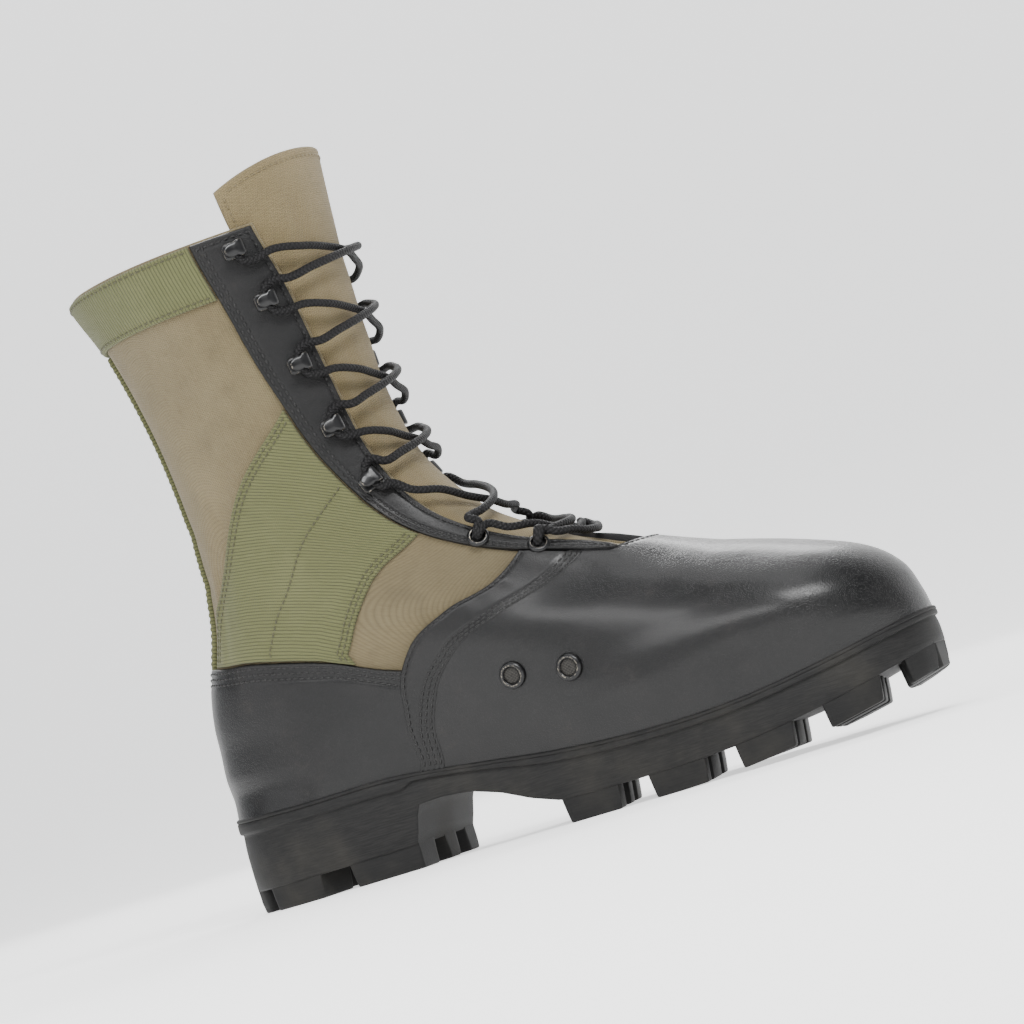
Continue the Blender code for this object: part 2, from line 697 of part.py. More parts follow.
# Overlays that meet the eyestay, the same on both sides
SIDES = {"medial": False, "lateral": True}
LEATHER_OUT = LAY + LEATHER
for side, outer_side in SIDES.items():
    levels = np.concatenate([[EYESTAY_FOOT], np.linspace(6.1, 11.5, 15), [RIM]])
    inner_edge = np.column_stack([edge_angle(levels, 1.6, outer_side), levels])
    outer_edge = eyestay_edge(levels, 0.0, outer_side)
    rows = np.linspace(0, 1, 5)[None, :, None]
    strap = (1 - rows) * inner_edge[:, None] + rows * outer_edge[:, None]
    patch("eyestay_" + side, strap[..., 0], strap[..., 1], LAY, LEATHER_OUT, BLACK_LEATHER, 0.55)

    rear_level, front_level = STRIP_TOP_LEVELS
    ends = eyestay_edge(np.linspace(rear_level, front_level, 5), EDGE_GAP, outer_side)
    rear = side_guide(STRIP_REAR, 16, outer_side, True, ends[0])
    front = side_guide(STRIP_FRONT, 16, outer_side, True, ends[-1])
    foot = np.linspace(rear[0], front[0], 5)
    angle, level = fill(rear, front, foot, ends)
    patch("edge_strip_" + side, angle, level, LAY, LEATHER_OUT + 0.5, BLACK_LEATHER, 0.5)

    counter_line = side_guide(COUNTER_TOP, 40, outer_side)
    rear_level, front_level = WEBBING_TOP_LEVELS
    ends = eyestay_edge(np.linspace(rear_level, front_level, 7), EDGE_GAP, outer_side)
    rear = side_guide(WEBBING_REAR, 14, outer_side, False, ends[0])
    front = side_guide(WEBBING_FRONT, 14, outer_side, False, ends[-1])
    order = np.argsort(counter_line[:, 0])
    foot_angle = np.linspace(rear[0, 0], front[0, 0], 7)
    foot_level = np.interp(foot_angle, counter_line[order, 0], counter_line[order, 1]) + 0.12
    foot = np.column_stack([foot_angle, foot_level])
    rear[0] = foot[0]
    front[0] = foot[-1]
    angle, level = fill(rear, front, foot, ends)
    patch("side_webbing_" + side, angle, level, LAY, LAY + WEBBING, OLIVE, 0.8)

# The heel counter: one piece round the heel
lines = {side: side_guide(COUNTER_TOP, 40, outer_side) for side, outer_side in SIDES.items()}
fronts = {side: side_guide(COUNTER_FRONT, 7, outer_side, True) for side, outer_side in SIDES.items()}
crest = np.concatenate([lines["medial"], lines["lateral"]])
crest = crest[np.argsort(crest[:, 0])]
share = np.linspace(0, 1, 31)[:, None]
angle_top = fronts["medial"][-1, 0] * (1 - share[:, 0]) + fronts["lateral"][-1, 0] * share[:, 0]
top_level = np.interp(angle_top, crest[:, 0], crest[:, 1])[:, None]
climb = np.linspace(0, 1, 7)[None, :]
front_in = fronts["medial"][:, 0][None, :]
front_out = fronts["lateral"][:, 0][None, :]
angle = front_in * (1 - share) + front_out * share
patch("heel_counter", angle, FOOT_LEVEL + climb * (top_level - FOOT_LEVEL), LAY, LEATHER_OUT, BLACK_LEATHER, 0.45)

# The vamp: over the toes, from one edge strip to the other
tops = {}
for side, outer_side in SIDES.items():
    end = eyestay_edge([STRIP_TOP_LEVELS[1]], EDGE_GAP, outer_side)[0]
    tops[side] = side_guide(STRIP_FRONT, 40, outer_side, True, end)
first = tops["medial"][np.argmax(tops["medial"][:, 1] > 0.55)]
last = tops["lateral"][np.argmax(tops["lateral"][:, 1] > 0.55)]
angle_row = np.linspace(first[0], last[0] - 2 * np.pi, 41)
line_in = tops["medial"][np.argsort(tops["medial"][:, 0])]
line_out = np.column_stack([tops["lateral"][:, 0] - 2 * np.pi, tops["lateral"][:, 1]])
line_out = line_out[np.argsort(line_out[:, 0])]
crest = np.concatenate([line_out, line_in])
crest_level = np.interp(angle_row, crest[:, 0], crest[:, 1])
crest_level = np.minimum(crest_level - 0.10 - 0.25 * np.abs(np.sin(angle_row)), 5.45)
climb = np.array([0, 0.06, 0.13, 0.21, 0.30, 0.39, 0.48, 0.58, 0.68, 0.79, 0.9, 1.0])
angle = np.mod(np.broadcast_to(angle_row[:, None], (41, len(climb))), 2 * np.pi)
patch("vamp", angle, FOOT_LEVEL + (crest_level[:, None] - FOOT_LEVEL) * climb[None, :], LAY + VAMP_LIFT, LEATHER_OUT, BLACK_LEATHER, 0.4)

# Woven tape: round the collar, and up the back between the counter and the collar tape
levels = np.linspace(BAND_FOOT, RIM, 5)
start = eyestay_edge(levels, EDGE_GAP)[:, 0]
stop = eyestay_edge(levels, EDGE_GAP, True)[:, 0]
share = np.linspace(0, 1, 41)[:, None]
angle = start[None, :] * (1 - share) + stop[None, :] * share
patch("collar_webbing", angle, np.broadcast_to(levels, angle.shape), LAY, LAY + WEBBING, OLIVE, 0.8)

counter_back = float(lines["medial"][0, 1])
levels = np.linspace(counter_back + 0.12, BAND_FOOT - 0.06, 12)
edges = []
for level in levels:
    angles = np.pi + np.linspace(-0.6, 0, 61)
    across = skin(angles, np.full(61, level))[:, 1]
    edges.append(np.interp(-BACK_WEBBING_WIDTH / 2, across, angles))
half_turn = np.pi - np.array(edges)
share = np.linspace(-1, 1, 7)[None, :]
angle = np.pi + half_turn[:, None] * share
level = np.broadcast_to(levels[:, None], angle.shape)
patch("back_webbing", angle, level, LAY, LAY + WEBBING, OLIVE, 0.8)

# Hooks: a foot on the eyestay, a neck at its throat side and a tab that opens away from the throat
FITTING_OUT = LEATHER_OUT + 0.45
HOOK_PROFILE = [
    # away   out
    (5.0, 0.0), (5.0, 1.2), (-2.8, 1.2), (-2.8, 5.8), (2.6, 5.8), (4.6, 6.9),
    (4.2, 7.9), (2.2, 7.0), (-3.4, 7.0), (-4.0, 6.2), (-4.0, 0.0),
]
LACE_OUT = 3.5
ends = {}
for side, outer_side in SIDES.items():
    ends[side] = []
    for number, (level, beyond) in enumerate(HOOKS, 1):
        angle = float(edge_angle([level], beyond, outer_side)[0])
        frame = frame_at(angle, level, outer_side, FITTING_OUT)
        ends[side].append((frame, level, True))
        half = HOOK_WIDTH / 2
        ring_in = [local(frame, away, -half, out) for away, out in HOOK_PROFILE]
        ring_out = [local(frame, away, half, out) for away, out in HOOK_PROFILE]
        count = len(HOOK_PROFILE)
        faces = [tuple(range(count)), tuple(range(count, 2 * count))[::-1]]
        faces += [(i, count + i, count + (i + 1) % count, (i + 1) % count) for i in range(count)]
        points = np.array(ring_in + ring_out)
        solid(f"hook_{side}_{number}", points, facing(points, faces), BLACK_METAL, 0.35)


def turned(name, frame, profile, sides, colour, roughness):
    """Solid of revolution about the outward direction; the profile is (radius, out) and closed."""
    turn = np.linspace(0, 2 * np.pi, sides, endpoint=False)
    points = []
    index = []
    for radius, out in profile:
        if radius == 0:
            index.append([len(points)] * sides)
            points.append(local(frame, 0, 0, out))
        else:
            index.append(list(range(len(points), len(points) + sides)))
            points += [local(frame, radius * np.cos(t), radius * np.sin(t), out) for t in turn]
    faces = []
    for low, high in zip(index, index[1:] + index[:1]):
        for i in range(sides):
            j = (i + 1) % sides
            face = [low[i], low[j], high[j], high[i]]
            face = [k for n, k in enumerate(face) if k not in face[:n]]
            if len(face) > 2:
                faces.append(tuple(face))
    points = np.array(points)
    solid(name, points, facing(points, faces), colour, roughness)


RING = [
    (EYELET_HOLE, 0.0), (EYELET_RADIUS, 0.0), (EYELET_RADIUS - 0.4, EYELET_HEIGHT * 0.75),
    (EYELET_RADIUS - 1.3, EYELET_HEIGHT), (EYELET_HOLE, EYELET_HEIGHT * 0.8),
]
for side, outer_side in SIDES.items():
    for number, (level, beyond) in enumerate(EYELETS, 1):
        angle = float(edge_angle([level], beyond, outer_side)[0])
        frame = frame_at(angle, level, outer_side, FITTING_OUT)
        ends[side].append((frame, level, False))
        turned(f"eyelet_{side}_{number}", frame, RING, 14, BLACK_METAL, 0.35)

# Drain vents: a ring with a screen a little below it, on the inner side only
VENT_PROFILE = [
    (0.0, 0.0), (VENT_RADIUS, 0.0), (VENT_RADIUS, 0.6), (VENT_RADIUS - 0.8, VENT_HEIGHT),
    (VENT_RADIUS - 1.9, VENT_HEIGHT), (VENT_RADIUS - 2.1, 0.8), (0.0, 0.8),
]
for number, place in enumerate(VENTS, 1):
    angle, level = side_guide([place, (place[0] + 4, place[1])], 2)[0]
    frame = frame_at(angle, level, False, LEATHER_OUT + 0.5)
    turned(f"vent_{number}", frame, VENT_PROFILE, 16, BLACK_METAL, 0.45)


def tube(path, radius, sides=6):
    """Closed tube with flat ends along a path; its section is carried from point to point."""
    path = np.array(path)
    along = np.gradient(path, axis=0)
    along /= np.linalg.norm(along, axis=1, keepdims=True)
    across = np.cross(along[0], [0.3, 0.2, 0.93])
    turn = np.linspace(0, 2 * np.pi, sides, endpoint=False)
    points = []
    for place, ahead in zip(path, along):
        across -= ahead * np.dot(across, ahead)
        across /= np.linalg.norm(across)
        third = np.cross(ahead, across)
        points += [place + radius * (np.cos(t) * across + np.sin(t) * third) for t in turn]
    faces = [tuple(range(sides))[::-1], tuple(range(len(points) - sides, len(points)))]
    for r in range(len(path) - 1):
        for i in range(sides):
            j = (i + 1) % sides
            faces.append((r * sides + i, r * sides + j, (r + 1) * sides + j, (r + 1) * sides + i))
    points = np.array(points)
    return points, facing(points, faces)


def lace_end(end, upward, past):
    """The lace's way out of a hook or an eyelet, towards the throat; upward is +1 or -1."""
    frame, _, is_hook = end
    if is_hook:
        return [
            local(frame, -0.4, -upward * past, LACE_OUT), local(frame, -0.3, upward * 2.6, LACE_OUT),
            local(frame, -1.3, upward * 5.2, LACE_OUT), local(frame, -5.0, upward * 6.6, LACE_OUT - 0.3),
        ]
    return [
        local(frame, 0.2, upward * 0.3, -0.1), local(frame, -0.1, upward * 0.4, 1.6),
        local(frame, -1.3, upward * 0.8, 3.3), local(frame, -4.6, upward * 1.6, LACE_OUT),
    ]


def bar(start, stop, middle_out, past, direct=False):
    """One crossing from the inner side to the outer side, over the tongue."""
    level_in, level_out = start[1], stop[1]
    rise = 0 if direct else (1 if level_out > level_in else -1)
    first = lace_end(start, rise, past)
    last = lace_end(stop, -rise, past)[::-1]
    shares = np.array([1.02, 0.72, 0.36, 0.0, -0.36, -0.72, -1.02])
    part = (1 - shares / 1.02) / 2
    levels = level_in + (level_out - level_in) * (0.22 + 0.56 * part)
    edge = throat_angle(levels)
    outs = np.interp(np.abs(shares), [0, 0.36, 0.72, 1.02], [middle_out, middle_out + 0.3, 4.0, 5.8])
    middle = surface(np.mod(shares * edge, 2 * np.pi), levels, outs)
    return first + list(middle) + last


# The lace: crossings from each fitting to the next one up on the other side
over = []
under = []
count = len(ends["medial"])
for k in range(count - 1):
    over.append(tube(bar(ends["medial"][k + 1], ends["lateral"][k], 3.1, 0.7), LACE_RADIUS))
    under.append(tube(bar(ends["medial"][k], ends["lateral"][k + 1], 0.3, 0.7), LACE_RADIUS - 0.12))
points, faces = join(over)
lace = solid("lace", points, faces, BLACK_CORD, 0.8)
points, faces = join(under)
unite(lace, solid("lace_under", points, faces, BLACK_CORD, 0.8))

# The finished part stands with the middle of its box over the origin
corners = []
for item in bpy.data.objects:
    if not item.hide_render:
        corners.append([list(vertex.co) for vertex in item.data.vertices])
corners = np.concatenate([np.array(c) for c in corners])
shift = -(corners.min(0) + corners.max(0)) / 2
shift[2] = 0.0
for item in bpy.data.objects:
    for vertex in item.data.vertices:
        vertex.co.x += shift[0]
        vertex.co.y += shift[1]
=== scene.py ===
# %% [markdown]
# A jungle boot for the left foot, dressed for a close look.
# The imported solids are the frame. Each visible piece is worked out again from the same sizes, finer,
# with stitches, weave, grain, creases and wear. The last cells set up the studio and the camera.

import bpy
import mathutils
import numpy as np
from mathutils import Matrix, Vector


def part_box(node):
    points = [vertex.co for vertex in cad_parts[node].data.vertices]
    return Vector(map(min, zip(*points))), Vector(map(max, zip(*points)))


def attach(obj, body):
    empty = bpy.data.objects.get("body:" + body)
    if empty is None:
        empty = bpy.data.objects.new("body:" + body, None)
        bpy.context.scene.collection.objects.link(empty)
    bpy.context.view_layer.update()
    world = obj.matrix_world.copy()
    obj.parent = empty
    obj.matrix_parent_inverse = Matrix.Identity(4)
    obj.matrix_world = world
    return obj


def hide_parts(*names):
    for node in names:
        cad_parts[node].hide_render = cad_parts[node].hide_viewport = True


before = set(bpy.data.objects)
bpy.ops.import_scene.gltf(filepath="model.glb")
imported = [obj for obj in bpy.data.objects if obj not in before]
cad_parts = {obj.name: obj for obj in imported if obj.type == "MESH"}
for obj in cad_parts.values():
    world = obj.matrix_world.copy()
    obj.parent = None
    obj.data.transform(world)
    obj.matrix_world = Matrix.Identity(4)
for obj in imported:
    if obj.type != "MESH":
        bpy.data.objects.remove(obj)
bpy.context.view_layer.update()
MM = 0.001

# %% [markdown]
# The boot is shaped on a last, a foot form. Short tables give its sizes in millimetres, one row per
# station, and smooth curves run through the rows. They are the same tables that the solids use.

# %% Sizes from the last
SOLE_LENGTH = 310.0
LUG_DEPTH = 9.5
SPRING_START = 195.0
TOE_SPRING = 17.0
BREAST_X = 85.0
BAR_START = 143.4
BAR_PITCH = 38.4
BAR_WIDTH = 22.9
BAR_SLANT = -0.204
FEATHER_INSET = 3.2
WALL = 2.2
SOLE_GAP = 0.4
LEATHER_OUT = 2.4
TAPE_OUT = 2.1
LIP = 0.3

OUTLINE = np.array([
    # x      inner   outer
    [6.0, -17.0, 17.0],
    [20.0, -29.0, 29.0],
    [45.0, -35.0, 36.0],
    [85.0, -33.0, 37.5],
    [115.0, -29.5, 40.0],
    [153.0, -31.5, 47.0],
    [194.0, -39.5, 55.5],
    [217.0, -44.0, 57.5],
    [234.0, -46.0, 56.0],
    [256.0, -45.0, 50.0],
    [274.0, -41.0, 42.5],
    [293.0, -30.5, 31.0],
    [305.0, -17.5, 19.0],
])
FEATHER = np.array([
    # x      z
    [0.0, 39.5],
    [40.0, 38.2],
    [85.0, 37.5],
    [120.0, 33.0],
    [150.0, 29.0],
    [195.0, 26.2],
    [235.0, 27.2],
    [270.0, 31.6],
    [310.0, 39.5],
])
FLOOR = np.array([
    # x      z
    [0.0, 9.5],
    [85.0, 9.5],
    [89.4, 25.0],
    [100.0, 25.4],
    [112.0, 24.0],
    [124.0, 20.0],
    [136.0, 14.2],
    [148.0, 10.0],
    [160.0, 9.5],
    [310.0, 9.5],
])
SLICES = np.array([
    # z back, z front, dip, x back, x front, y front, then half widths:
    # inner heel, waist, ball, toe, outer same
    [48.0, 48.0, 8.5, 3.2, 305.5, 0.0, 32.0, 29.5, 42.0, 41.0, 33.0, 38.0, 53.0, 46.5],
    [58.0, 60.0, 9.0, 2.6, 301.0, -0.5, 32.0, 31.5, 42.0, 41.5, 33.8, 37.5, 51.0, 45.5],
    [69.0, 70.5, 7.5, 3.6, 288.5, -1.5, 32.0, 33.0, 40.0, 38.0, 34.0, 37.0, 48.0, 42.5],
    [80.0, 80.5, 5.0, 4.4, 263.0, -2.5, 31.8, 34.0, 38.0, 33.0, 33.8, 36.8, 43.5, 36.5],
    [92.0, 92.0, 3.5, 7.0, 227.0, -3.5, 31.4, 34.8, 36.0, 29.0, 33.0, 36.4, 39.5, 31.0],
    [105.0, 106.0, 1.5, 11.5, 194.0, -4.0, 31.0, 35.2, 35.0, 29.0, 32.4, 36.2, 36.2, 29.0],
    [120.0, 121.0, 0.5, 16.5, 167.0, -3.5, 31.0, 35.6, 34.5, 28.0, 32.0, 36.2, 35.0, 28.0],
    [139.0, 140.0, 0.0, 19.5, 143.0, -2.5, 31.4, 36.2, 34.0, 26.8, 32.0, 36.6, 34.5, 27.0],
    [166.0, 168.0, 0.0, 20.0, 125.5, -1.0, 32.0, 38.0, 35.0, 26.5, 32.4, 38.2, 35.5, 26.8],
    [202.0, 205.0, 0.0, 16.5, 119.0, 0.0, 33.2, 41.4, 37.5, 27.5, 33.2, 41.4, 37.7, 27.5],
    [239.0, 243.0, 0.0, 8.5, 118.5, 0.0, 35.5, 46.0, 41.5, 29.5, 35.5, 45.5, 41.5, 29.5],
    [266.0, 272.0, 0.0, -1.5, 119.5, 0.0, 39.0, 50.5, 45.0, 31.0, 38.0, 49.5, 44.5, 31.0],
    [298.0, 304.0, 0.0, -9.0, 122.0, 0.0, 42.0, 54.5, 48.0, 32.5, 41.0, 53.5, 47.5, 32.5],
])
SHARES = np.array([0.88, 0.68, 0.40, 0.15])
THROAT = np.array([
    # level  half gap
    [5.0, 14.0],
    [6.0, 18.0],
    [7.0, 22.5],
    [8.0, 24.0],
    [9.0, 25.0],
    [10.0, 27.5],
    [11.0, 32.0],
    [12.0, 37.0],
    [13.0, 41.0],
])
EYESTAY = np.array([
    # level  width
    [5.5, 8.5],
    [6.2, 13.0],
    [7.2, 15.5],
    [8.0, 16.5],
    [8.8, 18.5],
    [9.6, 23.0],
    [10.4, 27.0],
    [11.2, 28.5],
    [12.0, 28.0],
])
print("slices", len(SLICES), "outline stations", len(OUTLINE))


# %% [markdown]
# Every curve is a cubic that passes through its table rows. A closed one runs round the boot by an
# angle: 0 at the toe, then the inner side, half a turn at the heel, then the outer side.

# %% Curves through the tables
def smooth(knots, values, at):
    """Cubic through the rows; the slope at a row is that of its two neighbours."""
    knots = np.asarray(knots, float)
    values = np.asarray(values, float)
    at = np.clip(np.asarray(at, float), knots[0], knots[-1])
    slope = np.gradient(values, knots, axis=0)
    row = np.clip(np.searchsorted(knots, at, side="right") - 1, 0, len(knots) - 2)
    step = knots[row + 1] - knots[row]
    t = (at - knots[row]) / step
    if values.ndim == 2:
        t = t[..., None]
        step = step[..., None]
    start = (1 + 2 * t) * (1 - t) ** 2 * values[row] + t * (1 - t) ** 2 * step * slope[row]
    end = t * t * (3 - 2 * t) * values[row + 1] + t * t * (t - 1) * step * slope[row + 1]
    return start + end


def around(angles, values, at):
    """The same cubic over a full turn, with the first rows repeated past the end."""
    knots = np.concatenate([[angles[-1] - 2 * np.pi], angles, [angles[0] + 2 * np.pi, angles[1] + 2 * np.pi]])
    rows = np.concatenate([[values[-1]], values, [values[0], values[1]]])
    return smooth(knots, rows, np.mod(at, 2 * np.pi))


def spring(x):
    """Rise of the tread: a parabola from the ball to the toe."""
    reach = np.clip((x - SPRING_START) / (SOLE_LENGTH - SPRING_START), 0, 1.1)
    return TOE_SPRING * reach ** 2


def feather_height(x):
    return smooth(FEATHER[:, 0], FEATHER[:, 1], x)


def outline(angle, out=0.0):
    """Edge of the sole in plan, moved outwards along its own normal."""
    inner = OUTLINE[::-1]
    turn_in = np.arccos(2 * inner[:, 0] / SOLE_LENGTH - 1)
    turn_out = 2 * np.pi - np.arccos(2 * OUTLINE[:, 0] / SOLE_LENGTH - 1)
    angles = np.concatenate([[0.0], turn_in, [np.pi], turn_out])
    widths = np.concatenate([[1.0], inner[:, 1], [0.0], OUTLINE[:, 2]])

    def place(a):
        return np.stack([SOLE_LENGTH * (1 + np.cos(a)) / 2, around(angles, widths, a)], -1)

    along = place(angle + 0.004) - place(angle - 0.004)
    along /= np.linalg.norm(along, axis=-1, keepdims=True)
    outward = np.stack([-along[..., 1], along[..., 0]], -1)
    return place(angle) + np.asarray(out)[..., None] * outward


def side_limits(x):
    """Inner and outer edge of the sole at a station."""
    turn = np.arccos(np.clip(2 * np.asarray(x, float) / SOLE_LENGTH - 1, -1, 1))
    return outline(turn)[..., 1], outline(2 * np.pi - turn)[..., 1]


turns = np.linspace(0, 2 * np.pi, 721)
lip_edge = outline(turns, LIP)
high = np.array(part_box("outsole")[1]) / MM
SHIFT = np.array([high[0] - lip_edge[:, 0].max(), high[1] - lip_edge[:, 1].max(), 0.0])
print("shift of the tables into the frame, mm", SHIFT.round(2))


# %% [markdown]
# The upper is a stack of slices from the sole to the collar. A point on it is named by its angle
# round the boot and its level in the stack, 0 at the sole and 12 at the collar. Distances outwards
# follow the surface's normal, so one function gives cloth, tape and leather, one on the other.

# %% The skin of the upper
def slice_rows(angle):
    """One point on every slice for each angle: x from the share of the length, y from the widths."""
    share = (1 + np.cos(angle)) / 2
    turns_in = np.arccos(2 * SHARES - 1)
    angles = np.concatenate([[0.0], turns_in, [np.pi], 2 * np.pi - turns_in[::-1]])
    edge = outline(angle, -FEATHER_INSET)
    rows = [np.stack([edge[..., 0], edge[..., 1], feather_height(edge[..., 0]) + SOLE_GAP], -1)]
    for z_back, z_front, dip, x_back, x_front, y_front, ih, iw, ib, it, oh, ow, ob, ot in SLICES:
        widths = np.array([y_front, -it, -ib, -iw, -ih, 0.0, oh, ow, ob, ot])
        x = x_back + share * (x_front - x_back)
        y = around(angles, widths, angle)
        z = z_back + share * (z_front - z_back) - dip * np.sin(np.pi * share) ** 2
        rows.append(np.stack([x, y, z], -1))
    return np.stack(rows)


def skin(angle, level):
    """Cubic from slice to slice at a fixed angle."""
    rows = slice_rows(angle)
    last = len(rows) - 1
    slope = np.gradient(rows, axis=0)
    level = np.clip(level, 0, last)
    row = np.clip(level.astype(int), 0, last - 1)
    t = (level - row)[..., None]
    spot = np.indices(angle.shape)
    low, top = rows[(row, *spot)], rows[(row + 1, *spot)]
    low_slope, top_slope = slope[(row, *spot)], slope[(row + 1, *spot)]
    start = (1 + 2 * t) * (1 - t) ** 2 * low + t * (1 - t) ** 2 * low_slope
    return start + t * t * (3 - 2 * t) * top + t * t * (t - 1) * top_slope


def skin_normal(angle, level):
    """Outward direction: the climb crossed with the turn, laid flat at the sole."""
    across = skin(angle + 0.02, level) - skin(angle - 0.02, level)
    upward = skin(angle, level + 0.05) - skin(angle, np.maximum(level - 0.05, 0))
    normal = np.cross(upward, across)
    normal[..., 2] *= np.clip(level / 0.4, 0, 1)
    return normal / np.linalg.norm(normal, axis=-1, keepdims=True)


# %% [markdown]
# A worn boot keeps soft folds where it bends: across the vamp behind the toes and round the front of
# the ankle. Each fold is a trough or a ridge with a Gaussian section.

# %% Folds
FOLDS = np.array([
    # x     y     z     along x, y, z       half length  width  depth  bend
    [228, -26, 74, 0.20, 0.80, 0.55, 24, 6.0, -0.26, 0.003],
    [212, -27, 73, 0.15, 0.80, 0.58, 22, 6.0, -0.20, 0.003],
    [226, 30, 76, 0.20, -0.80, 0.55, 24, 6.0, -0.26, -0.003],
    [212, 33, 72, 0.15, -0.78, 0.60, 20, 6.0, -0.20, -0.003],
    [236, 6, 88, 0.05, 1.00, 0.00, 26, 6.5, -0.18, 0.002],
    [100, -36, 138, 0.80, 0.10, -0.55, 17, 3.4, -1.10, 0.006],
    [92, -37, 150, 0.85, 0.10, -0.45, 16, 3.2, 0.55, 0.005],
    [90, -37, 160, 0.90, 0.05, -0.35, 18, 3.6, -0.95, 0.005],
    [33, -31, 136, 0.35, 0.05, 0.90, 26, 4.0, -1.00, 0.002],
    [42, -34, 148, 0.35, 0.05, 0.90, 30, 3.6, -0.80, 0.002],
    [60, -40, 205, 0.90, 0.00, -0.30, 26, 6.0, -0.70, 0.002],
    [98, 36, 140, 0.80, -0.10, -0.55, 18, 3.6, -1.10, 0.006],
    [90, 37, 162, 0.88, -0.05, -0.40, 18, 3.8, -0.90, 0.005],
    [34, 32, 138, 0.35, -0.05, 0.90, 26, 4.0, -1.00, 0.002],
    [44, 35, 150, 0.35, -0.05, 0.90, 30, 3.6, -0.80, 0.002],
    [26, -28, 128, 0.30, 0.10, 0.92, 20, 3.2, 0.60, 0.002],
    [58, 41, 200, 0.90, 0.00, -0.30, 26, 6.0, -0.70, 0.002],
    [18, 0, 138, 0.00, 1.00, 0.05, 20, 4.0, -0.70, 0.002],
    [20, 0, 158, 0.00, 1.00, -0.05, 18, 4.2, -0.60, 0.002],
    [130, -35, 106, 0.80, 0.00, -0.60, 14, 3.4, -0.55, 0.004],
    [150, -33, 104, 0.80, 0.00, -0.55, 12, 3.0, 0.35, 0.004],
], float)
FOLD_REACH = 22.0


def fold_depth(places, normals):
    """Sum of the folds: depth times one Gaussian across and one along; it fades out off the skin."""
    total = np.zeros(places.shape[:-1])
    for fold in FOLDS:
        offset = places - fold[:3]
        along = fold[3:6] / np.linalg.norm(fold[3:6])
        across = np.cross(normals, along)
        across /= np.maximum(np.linalg.norm(across, axis=-1, keepdims=True), 1e-6)
        run = offset @ along
        side = (offset * across).sum(-1) + fold[9] * run ** 2
        away = (offset * normals).sum(-1)
        fade = (run / fold[6]) ** 2 + (side / fold[7]) ** 2 + (away / FOLD_REACH) ** 4
        total += fold[8] * np.exp(-fade)
    return total


def surface(angle, level, out, folded=True):
    """Point at a distance from the skin, with the folds added to the distance."""
    angle, level, out = np.broadcast_arrays(np.asarray(angle, float), np.asarray(level, float), out)
    places = skin(angle, level)
    normals = skin_normal(angle, level)
    if folded:
        out = out + fold_depth(places, normals)
    return places + normals * out[..., None]


def along_angle(level, first, outer_side=False, count=71, reach=1.6):
    """Angles from a first one towards the heel, and their distance along the skin, for one level."""
    angles = first + np.linspace(0, -reach if outer_side else reach, count)
    steps = np.linalg.norm(np.diff(skin(angles, np.full(count, float(level))), axis=0), axis=1)
    return angles, np.concatenate([[0], np.cumsum(steps)])


def throat_angle(level):
    """Angle of the throat's edge, from its half gap in millimetres."""
    half = smooth(THROAT[:, 0], THROAT[:, 1], level)
    found = []
    for one, gap in zip(np.ravel(level), np.ravel(half)):
        angles, _ = along_angle(one, 0.0)
        points = skin(angles, np.full(angles.shape, float(one)))
        found.append(np.interp(gap, points[0, 1] - points[:, 1], angles))
    return np.array(found).reshape(np.shape(level))


def edge_angle(level, beyond, outer_side=False):
    """Angle of a line that runs a given distance outside the throat's edge."""
    level, beyond = np.broadcast_arrays(np.asarray(level, float), beyond)
    base = throat_angle(level)
    base = 2 * np.pi - base if outer_side else base
    found = []
    for one, first, distance in zip(level.ravel(), base.ravel(), beyond.ravel()):
        angles, run = along_angle(one, first, outer_side)
        found.append(np.interp(distance, run, angles))
    return np.array(found).reshape(level.shape)


print("throat edge angles", throat_angle(np.array([6.0, 9.0, 12.0])).round(3))


# %% [markdown]
# Panels are cut along guide lines. A guide is a few (x, z) points seen from the side of the boot,
# turned into angles and levels. A panel fills the space inside four guides.

# %% Guides and panels
SIDES = {"medial": False, "lateral": True}
fine_angle, fine_level = np.meshgrid(np.linspace(0.02, np.pi, 420), np.linspace(0, 12, 361), indexing="ij")
side_map = {
    False: (fine_angle, skin(fine_angle, fine_level)[..., [0, 2]]),
    True: (2 * np.pi - fine_angle, skin(2 * np.pi - fine_angle, fine_level)[..., [0, 2]]),
}
FOOT_LEVEL = 0.03


def side_guide(points, count, outer_side=False, from_sole=False, end=None):
    """Angles and levels of a smooth line through (x, z) points seen from one side of the boot."""
    look, seen = side_map[outer_side]
    found = []
    for point in points:
        spot = np.unravel_index(np.argmin(((seen - np.array(point)) ** 2).sum(-1)), look.shape)
        found.append((look[spot], fine_level[spot]))
    if from_sole:
        found[0] = (found[0][0], FOOT_LEVEL)
    if end is not None:
        found.append(tuple(end))
    found = np.array(found)
    places = skin(found[:, 0], found[:, 1])
    steps = np.concatenate([[0], np.cumsum(np.linalg.norm(np.diff(places, axis=0), axis=1))])
    return smooth(steps, found, np.linspace(0, steps[-1], count))


def eyestay_edge(levels, extra, outer_side=False):
    """Guide along the outer edge of the eyestay."""
    levels = np.asarray(levels, float)
    angle = edge_angle(levels, smooth(EYESTAY[:, 0], EYESTAY[:, 1], levels) + extra, outer_side)
    return np.column_stack([angle, levels])


def along_guide(guide, share):
    """Point on a guide at a share of its rows."""
    at = np.clip(share, 0, 1) * (len(guide) - 1)
    return np.stack([np.interp(at, np.arange(len(guide)), guide[:, k]) for k in (0, 1)], -1)


